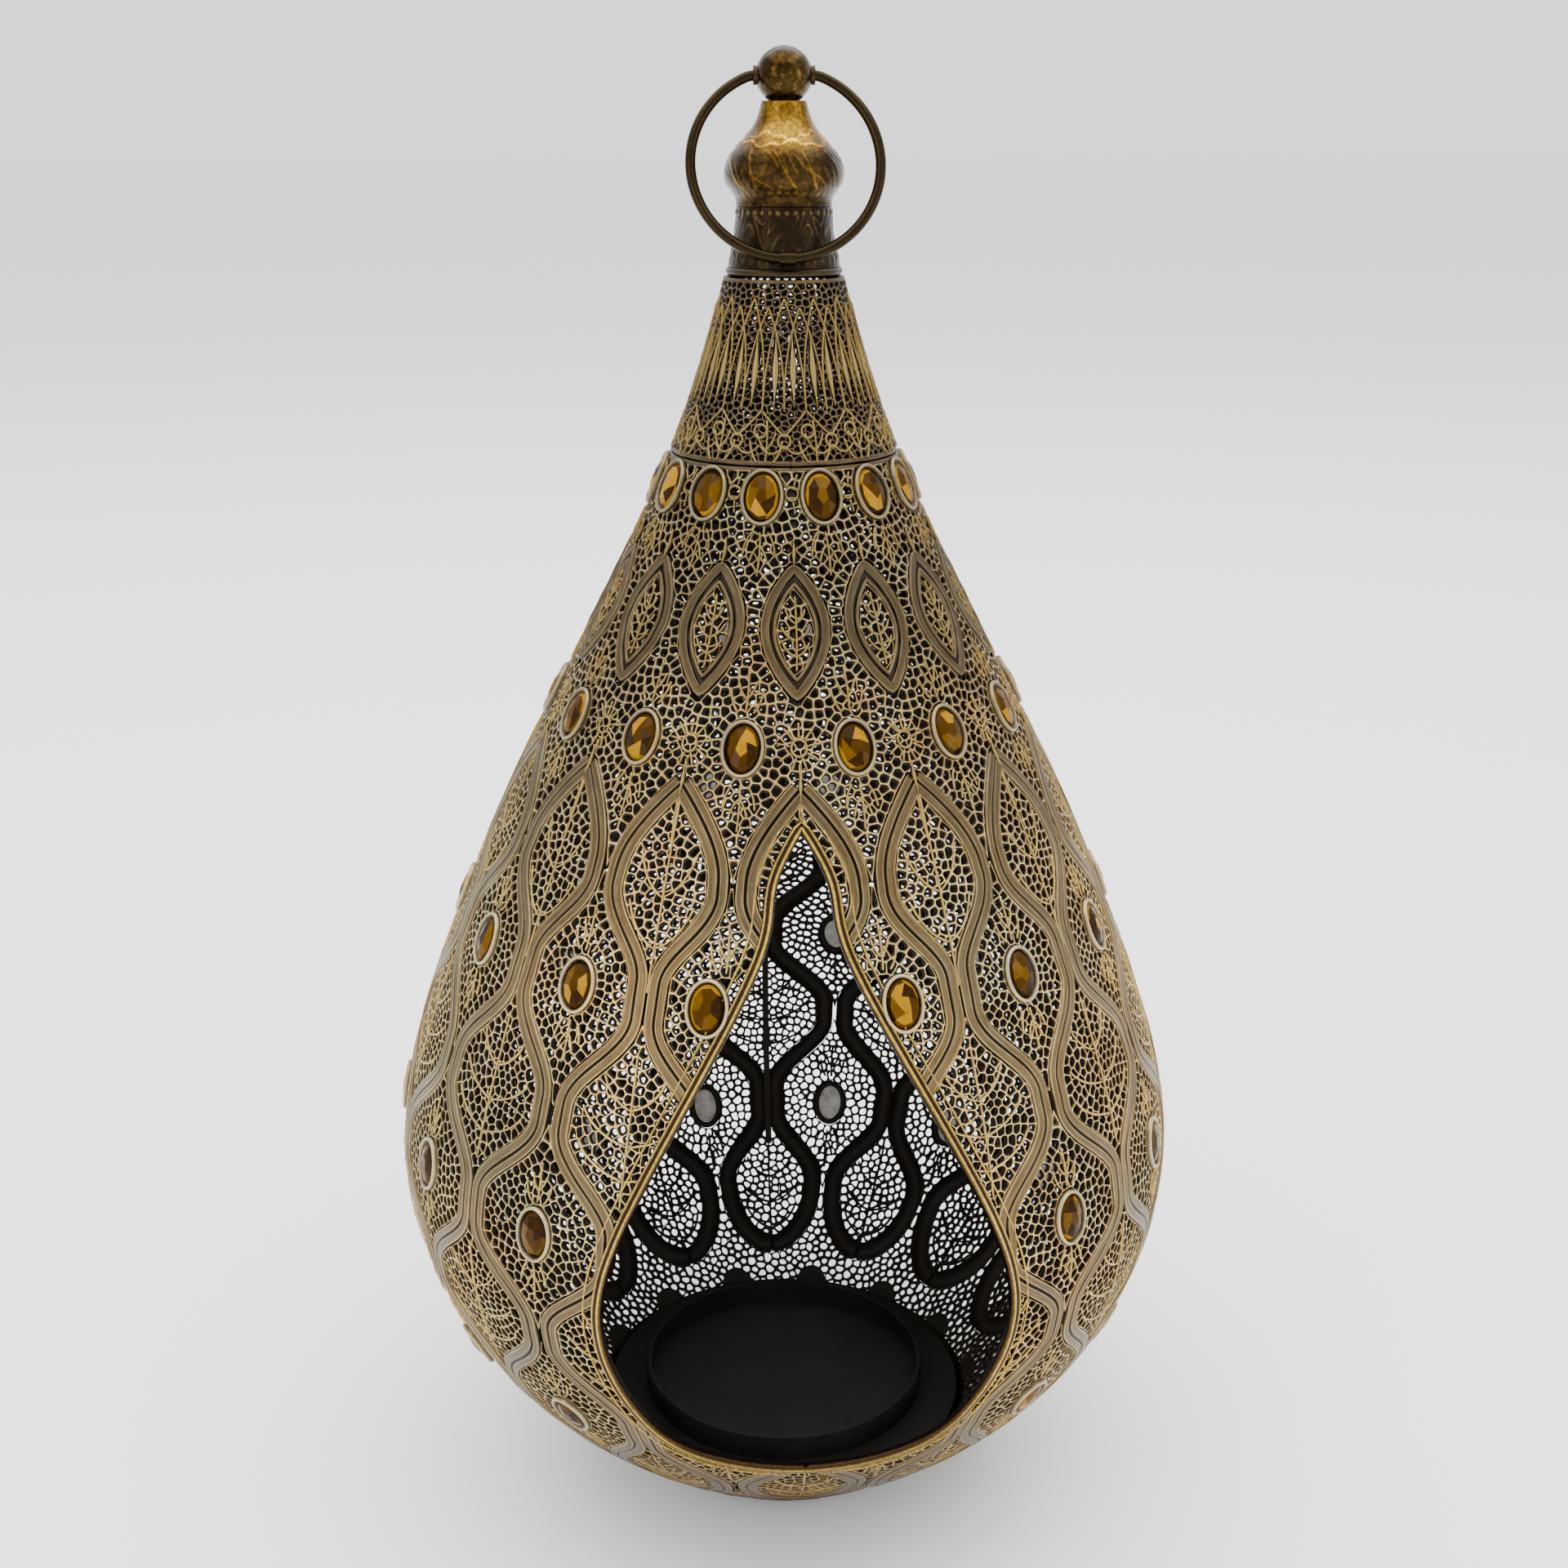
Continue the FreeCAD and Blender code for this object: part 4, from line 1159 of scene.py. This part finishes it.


# Painted shade by height, darker at the foot and towards the cone, at shares of HEIGHT_SHADE_TOP in metres;
# the two hues the metal drifts between; and the painted shade of deep places.
HEIGHT_SHADE_TOP = 0.45
HEIGHT_SHADE = [(0.03, (0.22, 0.16, 0.09)), (0.16, (0.88, 0.87, 0.85)), (0.45, (1.0, 1.0, 1.0)),
          (0.66, (0.44, 0.42, 0.38))]
HUES = [(0.36, (1.10, 0.98, 0.80)), (0.64, (0.86, 0.89, 0.89))]
PAINTED_HOLLOW_SHADE = [(0.25, (0.12, 0.09, 0.06)), (0.80, (1.0, 1.0, 1.0))]
BLOTCHES = [(0.42, (0.0, 0.0, 0.0)), (0.62, (0.75, 0.75, 0.75))]
CLOUDING = 0.30


def aged_metal(name, stops, metallic, rough, patch=None, toned=True, mottle=0.45, streaks=False, reach=0.0,
               bump=0.25, aged_and_shaded=False):
    """Aged metal whose colour follows the tone of the surface, from hollow to crest, shifted by noise; the
    tone paints shade in the hollows and a highlight on the crests. A patch colour lies over parts of it,
    streaks draw the patches out along a band, reach paints shade into deep places of that size, and with
    aged_and_shaded the metal drifts between two hues and is painted darker towards its ends, as painted
    shade."""
    look = Look(name)
    fine = look.noise(800.0, 6.0, 0.65)
    level = look.math("MULTIPLY_ADD", fine, mottle, look.tone() if toned else 0.5)
    level = look.math("MULTIPLY_ADD", look.noise(38.0, 5.0, 0.6), CLOUDING, level)
    colour = look.ramp(look.math("SUBTRACT", level, (mottle + CLOUDING) / 2), stops)
    if patch:
        blotches = look.streaks() if streaks else look.noise(95.0, 5.0, 0.6)
        colour = look.tint(colour, patch, look.ramp(blotches, BLOTCHES))
    if aged_and_shaded:
        height = look.add("SeparateXYZ", {"Vector": look.place()}, "Z")
        colour = look.tint(colour, look.ramp(look.noise(16.0, 3.0), HUES))
        # Painted shade by height: darker at the foot and towards the cone.
        colour = look.tint(colour, look.ramp(look.math("DIVIDE", height, HEIGHT_SHADE_TOP), HEIGHT_SHADE))
    # Painted shade: ambient occlusion darkens the colour in deep places.
    if reach:
        open_share = look.add("AmbientOcclusion", {"Distance": reach}, "AO", samples=8)
        colour = look.tint(colour, look.ramp(open_share, PAINTED_HOLLOW_SHADE))
    polish = look.add("MapRange", {"Value": fine, "To Min": rough - 0.10, "To Max": rough + 0.14}, "Result")
    return look.make({"Base Color": colour, "Metallic": metallic, "Roughness": polish,
                      "Normal": look.bump(fine, bump, 0.0003)})


def amber_glass():
    """Dark honey glass: each facet has its own painted brightness, standing in for light reflected in the
    stone, with clouds in it.
    """
    look = Look("amber_stone")
    level = look.math("MULTIPLY_ADD", look.noise(240.0, 3.0, 0.6, 1.0), 0.5, look.tone())
    colour = look.ramp(look.math("SUBTRACT", level, 0.25), [
        (0.05, (0.016, 0.006, 0.0)), (0.40, (0.046, 0.019, 0.0)), (0.75, (0.105, 0.048, 0.0003)),
        (1.0, (0.27, 0.132, 0.001))])
    return look.make({"Base Color": colour, "Roughness": 0.10, "IOR": 1.45, "Coat Weight": 0.03,
                      "Coat Roughness": 0.05, "Specular IOR Level": 0.06})


def stone_back():
    """The stones' backs, painted pale for the light that shines through the stones, with a cloudy grain."""
    look = Look("stone_back")
    cloud = look.noise(320.0, 3.0, 0.6)
    colour = look.ramp(cloud, [(0.30, (0.42, 0.38, 0.32)), (0.70, (0.82, 0.79, 0.74))])
    return look.make({"Base Color": colour, "Roughness": 0.3})


def black_coat():
    """The dish's matt black coat, with a fine grain."""
    look = Look("black_coat")
    broad = look.noise(30.0, 4.0)
    colour = look.ramp(broad, [(0.30, (0.010, 0.0085, 0.0075)), (0.72, (0.020, 0.017, 0.015))])
    grain = look.noise(1400.0, 4.0, 0.6)
    return look.make({"Base Color": colour, "Roughness": 0.55, "Specular IOR Level": 0.35,
                      "Normal": look.bump(grain, 0.12, 0.0002)})


STRANDS = aged_metal("champagne_strands", [
    (0.0, (0.010, 0.006, 0.0022)), (0.35, (0.045, 0.028, 0.010)), (0.62, (0.110, 0.076, 0.029)),
    (1.0, (0.88, 0.71, 0.34))], 0.72, 0.38, patch=(0.72, 0.54, 0.32), reach=0.0022, aged_and_shaded=True)
# Painted shade: the holes' walls are kept darker than the strands, as shade inside the holes.
HOLE_WALLS = aged_metal("hole_walls", [
    (0.0, (0.009, 0.005, 0.002)), (0.5, (0.040, 0.024, 0.008)), (1.0, (0.12, 0.078, 0.030))], 0.7, 0.45)
# Painted shade: the inside faces and the backs of the pieces are nearly black, as shade inside the lantern.
INSIDE = aged_metal("dark_inside", [
    (0.0, (0.009, 0.006, 0.004)), (1.0, (0.024, 0.016, 0.009))], 0.4, 0.6, toned=False)
BAND_METAL = aged_metal("champagne_bands", [
    (0.0, (0.010, 0.006, 0.0024)), (0.22, (0.045, 0.031, 0.013)), (0.52, (0.132, 0.098, 0.045)),
    (0.80, (0.235, 0.178, 0.082)), (1.0, (0.52, 0.41, 0.18))], 0.72, 0.40, patch=(0.60, 0.46, 0.30),
    streaks=True, mottle=0.30, reach=0.0016, aged_and_shaded=True)
VEIN_GOLD = aged_metal("vein_gold", [
    (0.0, (0.014, 0.008, 0.0025)), (0.5, (0.12, 0.078, 0.024)), (1.0, (0.60, 0.44, 0.15))], 0.8, 0.32,
    mottle=0.35, aged_and_shaded=True)
TRIM_METAL = aged_metal("trim_brass", [
    (0.0, (0.008, 0.004, 0.001)), (0.40, (0.040, 0.022, 0.005)), (0.68, (0.13, 0.077, 0.014)),
    (1.0, (0.60, 0.40, 0.085))], 0.88, 0.26, mottle=0.55)
FOOT_METAL = aged_metal("foot_gold", [
    (0.0, (0.012, 0.007, 0.0027)), (0.4, (0.055, 0.034, 0.012)), (0.8, (0.19, 0.130, 0.050)),
    (1.0, (0.42, 0.31, 0.13))], 0.78, 0.36, patch=(0.62, 0.48, 0.30), aged_and_shaded=True)
DARK_GOLD = aged_metal("dark_gold", [
    (0.1, (0.009, 0.005, 0.002)), (0.6, (0.032, 0.019, 0.006)), (0.95, (0.12, 0.076, 0.025))], 0.85, 0.34,
    toned=False, mottle=0.7)
COLLAR_METAL = aged_metal("collar_brass", [
    (0.0, (0.006, 0.0035, 0.0015)), (0.4, (0.026, 0.016, 0.0055)), (1.0, (0.20, 0.135, 0.045))], 0.92, 0.28,
    patch=(0.60, 0.45, 0.30))
FINIAL_METAL = aged_metal("finial_brass", [
    (0.0, (0.008, 0.0045, 0.0015)), (0.3, (0.040, 0.023, 0.006)), (0.6, (0.14, 0.076, 0.008)),
    (0.80, (0.34, 0.185, 0.010)), (1.0, (0.82, 0.49, 0.045))], 0.95, 0.20, patch=(0.32, 0.20, 0.11),
    mottle=0.9, bump=0.4)
BALL_METAL = aged_metal("ball_brass", [
    (0.15, (0.010, 0.006, 0.002)), (0.5, (0.040, 0.024, 0.006)), (0.85, (0.26, 0.155, 0.030))], 0.97, 0.18,
    patch=(0.34, 0.24, 0.15), toned=False, mottle=0.9, bump=0.12)
RING_METAL = aged_metal("ring_bronze", [
    (0.2, (0.010, 0.0065, 0.003)), (0.6, (0.024, 0.0155, 0.0065)), (0.95, (0.10, 0.065, 0.026))], 0.97, 0.22,
    toned=False, mottle=0.5, bump=0.12)
BEZEL_METAL = aged_metal("bezel_silver", [
    (0.0, (0.020, 0.012, 0.005)), (0.45, (0.16, 0.125, 0.070)), (1.0, (0.50, 0.41, 0.23))], 0.80, 0.30,
    mottle=0.35, aged_and_shaded=True)
STONE = amber_glass()
STONE_BACK = stone_back()
COAT = black_coat()
STEEL = aged_metal("zinc_steel", [
    (0.1, (0.22, 0.22, 0.23)), (0.9, (0.62, 0.62, 0.62))], 0.95, 0.35, toned=False, bump=0.15)


# ---------- build the wall
def build_wall():
    sides = ("left", "right")
    tiers = [f"{side}_{tier}" for side in sides for tier in range(1, len(TIER_TOPS) + 1)]
    cells = {key: Builder() for key in tiers + ["cone_left", "cone_right"]}
    body_openwork(cells)
    cone_openwork(cells)
    for key, builder in cells.items():
        piece = builder.make(f"openwork_{key}", [STRANDS, INSIDE, HOLE_WALLS], weld=0.00004)
        node = "upper_cone" if key.startswith("cone") else f"shell_{key[:-2]}"
        place_piece(piece, "antique_gold", node)
    waves, almonds, wires, cone = ({side: Builder() for side in sides} for _ in range(4))
    bands(waves, almonds)
    end_rims(almonds)
    veins(wires)
    cone_wires(cone)
    for side in sides:
        place_piece(waves[side].make(f"bands_{side}", [BAND_METAL, INSIDE]), "antique_gold")
        place_piece(almonds[side].make(f"almonds_{side}", [BAND_METAL, INSIDE]), "antique_gold")
        place_piece(wires[side].make(f"veins_{side}", [VEIN_GOLD, INSIDE]), "antique_gold")
        place_piece(cone[side].make(f"cone_wires_{side}", [VEIN_GOLD, INSIDE]), "antique_gold")
    points, faces, kinds, tones = foot_bowl()
    bowl = make_object("foot_bowl", points, faces, [FOOT_METAL, INSIDE], kinds, tones=tones)
    place_piece(bowl, "antique_gold")


build_wall()

# Across the doorway's edge: mm outwards from the edge, rise above the wall, and tone, a painted highlight on
# the ridges and painted shade in the groove between them.
TRIM_SECTION = [
    (-1.3, -SKIN, 0), (-1.3, 0.6, 0.2), (-1.1, 1.15, 0.45), (-0.75, 1.5, 0.75), (-0.4, 1.6, 1),
    (0.0, 1.4, 0.45), (0.4, 1.1, 0), (0.8, 1.3, 0.45), (1.2, 1.5, 1), (1.6, 1.25, 0.4), (1.8, 0.5, 0.1),
    (1.8, -SKIN, 0)]
TRIM_WIRE_OUT = 4.4


def door_trim(side, sign):
    """The rolled edge of one half of the doorway, with two thin ridges and a wire beside it."""
    builder = Builder()
    lines = []
    for outset, _, _ in TRIM_SECTION:
        line = door_line(outset)
        line[:, 0] = np.maximum(line[:, 0], 0) * sign
        lines.append(line)
    grid = np.stack(lines, 1)
    _, rises, tones = np.array(TRIM_SECTION, float).T
    count, across = grid.shape[:2]
    points = wall.point(grid[..., 0].ravel(), grid[..., 1].ravel(), np.tile(rises, count))
    faces = [face for face, _ in grid_faces(count, across, False, sign < 0)]
    builder.add(points, faces, [0] * len(faces), np.tile(tones, count))
    ridge = door_line(TRIM_WIRE_OUT)[3:-3] * (sign, 1)
    wire(builder, ridge, 0.45, wobble=0.3, flip=sign < 0, seed=3, height=1.15)
    place_piece(builder.make(f"trim_{side}", [TRIM_METAL, INSIDE]), "aged_brass", f"door_trim_{side}")


door_trim("right", 1)
door_trim("left", -1)

# ---------- stones and bezels
# Around a bezel's section: mm outside the stone, rise above the wall, and tone, a painted highlight on the
# rim's top and painted shade at its foot.
BEZEL_PROFILE = [
    (-0.5, -SKIN, 0), (1.5, -SKIN, 0), (1.5, 0.5, 0.2), (1.42, 1.2, 0.6), (1.15, 1.75, 1), (0.75, 1.9, 1),
    (0.4, 1.7, 0.6), (0.2, 1.25, 0.1), (-0.2, 0.95, 0), (-0.5, 0.5, 0)]


def row_angles(row):
    """Where the stones of a row stand: midway between the columns, those of row 3 pushed clear of the
    doorway's edge, and none in the doorway's lower rows."""
    angles = [(k + 0.5) * STEP for k in range(SECTORS)]
    if row == 3:
        edge = np.interp(ROW_Z[3], DOOR_Z, DOOR_HALF) + 1.8 + BEZEL_SHORT
        beside = max(edge / wall.radius(ROW_Z[3]), STEP / 2)
        return [beside] + angles[1:-1] + [2 * math.pi - beside]
    return angles if row <= 2 else angles[1:-1]


def oval(place, short, long, rise, count, shift=0.0):
    """Points of an oval standing off the wall at a place."""
    spot, around, up, out = place
    turn = 2 * math.pi * (np.arange(count) + shift) / count
    across, along = short * np.sin(turn), long * np.cos(turn)
    return spot + (np.outer(across, around) + np.outer(along, up) + out * rise) * MM


def bezel_ring(builder, place, count=40):
    rings = [oval(place, STONE_SHORT + grow, STONE_LONG + grow, rise, count)
             for grow, rise, _ in BEZEL_PROFILE]
    tones = np.repeat([tone for _, _, tone in BEZEL_PROFILE], count)
    faces, kinds = [], []
    for r in range(len(rings)):
        first, second = r * count, (r + 1) % len(rings) * count
        for k in range(count):
            j = (k + 1) % count
            faces.append([second + k, second + j, first + j, first + k])
            kinds.append(1 if r in (0, len(rings) - 1) else 0)
    builder.add(np.concatenate(rings), faces, kinds, tones)


def stitch(s0, n0, s1, n1):
    """Triangles between two rings that start together, outer ring first."""
    faces = []
    i = j = 0
    while i < n0 or j < n1:
        if j >= n1 or (i < n0 and (i + 1) / n0 <= (j + 1) / n1):
            faces.append([s0 + (i + 1) % n0, s0 + i % n0, s1 + j % n1])
            i += 1
        else:
            faces.append([s0 + i % n0, s1 + j % n1, s1 + (j + 1) % n1])
            j += 1
    return faces


# The rings of a stone from its girdle inwards: share of its size, rise, sides and turn of the ring.
STONE_RINGS = [(1.0, 0.6, 24, 0.0), (0.84, 1.7, 10, 0.3), (0.36, 2.55, 5, 0.6)]
STONE_FACETS = 5


def faceted_stone(place, first):
    """An oval stone cut with two rings of facets around a small table."""
    points = [oval(place, STONE_SHORT * size, STONE_LONG * size, rise, count, shift)
              for size, rise, count, shift in STONE_RINGS]
    starts = [first + sum(len(p) for p in points[:k]) for k in range(len(points))]
    faces = []
    for k in range(len(points) - 1):
        faces += stitch(starts[k], len(points[k]), starts[k + 1], len(points[k + 1]))
    faces.append([starts[-1] + k for k in range(len(points[-1]))][::-1])
    faces.append([starts[0] + k for k in range(len(points[0]))])
    return np.concatenate(points), faces


def painted_facet_light(points, faces, first, place):
    """A painted brightness for each face of a stone, the same over each broad facet, standing in for light
    reflected in the stone.
    """
    spot, around, up, _ = place
    shades = RANDOM.choice([0.05, 0.35, 0.65, 1.0], 2 * STONE_FACETS, p=[0.25, 0.3, 0.25, 0.2])
    turn = RANDOM.uniform(0, 1)
    out = []
    for face in faces:
        middle = points[np.array(face) - first].mean(0) - spot
        across, along = middle @ around / STONE_SHORT / MM, middle @ up / STONE_LONG / MM
        facet = int((math.atan2(across, along) / (2 * math.pi) + 1 + turn) * STONE_FACETS) % STONE_FACETS
        out.append(shades[facet + (STONE_FACETS if math.hypot(across, along) > 0.72 else 0)])
    return out


def stone_row(row, row_z):
    """The bezels and the stones of one row."""
    bezels = Builder()
    stone_points, stone_faces, shades = [], [], []
    for angle in row_angles(row):
        stand = wall.stand(angle, row_z)
        bezel_ring(bezels, stand)
        first = sum(len(p) for p in stone_points)
        points, faces = faceted_stone(stand, first)
        stone_points.append(points)
        stone_faces += faces
        shades += painted_facet_light(points, faces, first, stand)
    piece = bezels.make(f"bezels_{row}", [BEZEL_METAL, INSIDE])
    place_piece(piece, "antique_gold", f"bezels_row_{row}")
    backs = [int(len(face) == STONE_RINGS[0][2]) for face in stone_faces]
    piece = make_object(f"stones_{row}", np.concatenate(stone_points), stone_faces, [STONE, STONE_BACK],
                        backs, smooth_faces=False, face_tones=shades)
    place_piece(piece, "amber_glass", f"stones_row_{row}")


for row, row_z in ROW_Z.items():
    stone_row(row, row_z)

# ---------- collar and finial
TURNED = [("collar_relief", "collar", collar_relief, COLLAR_METAL, 60),
          ("pear_relief", "pear_finial", pear_relief, FINIAL_METAL, 120)]
for name, node, relief, material, rows in TURNED:
    place_piece(turned_relief(name, node, relief, material, rows), "aged_brass", node)

# ---------- CAD pieces that keep their shape
KEPT_NODES = {
    "cone_joint_ring": INSIDE, "seam_strip_back": INSIDE, "seam_strip_front": INSIDE, "base_pan": DARK_GOLD,
    "floor_plate": COAT, "candle_dish": COAT, "collar_rim": DARK_GOLD, "finial_ball": BALL_METAL,
    "ball_eyelets": DARK_GOLD, "finial_stud": STEEL, "finial_nut": STEEL, "finial_washer": STEEL,
    "hanging_ring": RING_METAL, "ring_weld_bead": RING_METAL,
}
for node, material in KEPT_NODES.items():
    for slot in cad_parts[node].material_slots:
        slot.material = material


# ---------- floor, light and camera
def stage():
    finish = {"Base Color": (0.96, 0.96, 0.96), "Roughness": 0.9, "Specular IOR Level": 0.2}
    bpy.ops.mesh.primitive_plane_add(size=60, location=(0, 0, 0))
    floor = bpy.context.object
    floor.name = "studio_floor"
    floor.data.materials.append(Look("studio_white").make(finish))
    world = bpy.data.worlds.new("studio")
    bpy.context.scene.world = world
    world.use_nodes = True
    background = world.node_tree.nodes["Background"]
    background.inputs["Color"].default_value = (1, 1, 1, 1)
    background.inputs["Strength"].default_value = 1.6


def area_light(name, place, aim, size, power):
    data = bpy.data.lights.new(name, "AREA")
    data.shape = "RECTANGLE"
    data.size, data.size_y = size
    data.energy = power
    light = bpy.data.objects.new(name, data)
    light.location = place
    light.rotation_euler = (Vector(aim) - Vector(place)).to_track_quat("-Z", "Y").to_euler()
    bpy.context.scene.collection.objects.link(light)


stage()
# Name, place and aim in metres, size in metres, and power in watts.
LIGHTS = [("overhead", (0.0, 0.1, 2.2), (0, 0, 0), (3.2, 3.2), 105),
          ("key_left", (-1.2, -1.2, 0.9), (0, 0, 0.2), (0.5, 1.1), 9),
          ("fill_right", (1.4, -0.9, 0.7), (0, 0, 0.2), (0.4, 1.0), 5)]
for light in LIGHTS:
    area_light(*light)

camera_data = bpy.data.cameras.new("camera")
camera = bpy.data.objects.new("camera", camera_data)
bpy.context.scene.collection.objects.link(camera)
camera_data.lens = 45.83
camera_data.sensor_width = 36
# Its turn around the lantern, its distance and height in metres, and how far it looks down.
CAMERA_TURN, CAMERA_DOWN = math.radians(-3.44), math.radians(18.28)
CAMERA_AWAY, CAMERA_HEIGHT = 0.6017, 0.4387
camera.location = (CAMERA_AWAY * math.sin(CAMERA_TURN), -CAMERA_AWAY * math.cos(CAMERA_TURN), CAMERA_HEIGHT)
camera.rotation_euler = (math.pi / 2 - CAMERA_DOWN, 0, CAMERA_TURN)
bpy.context.scene.camera = camera
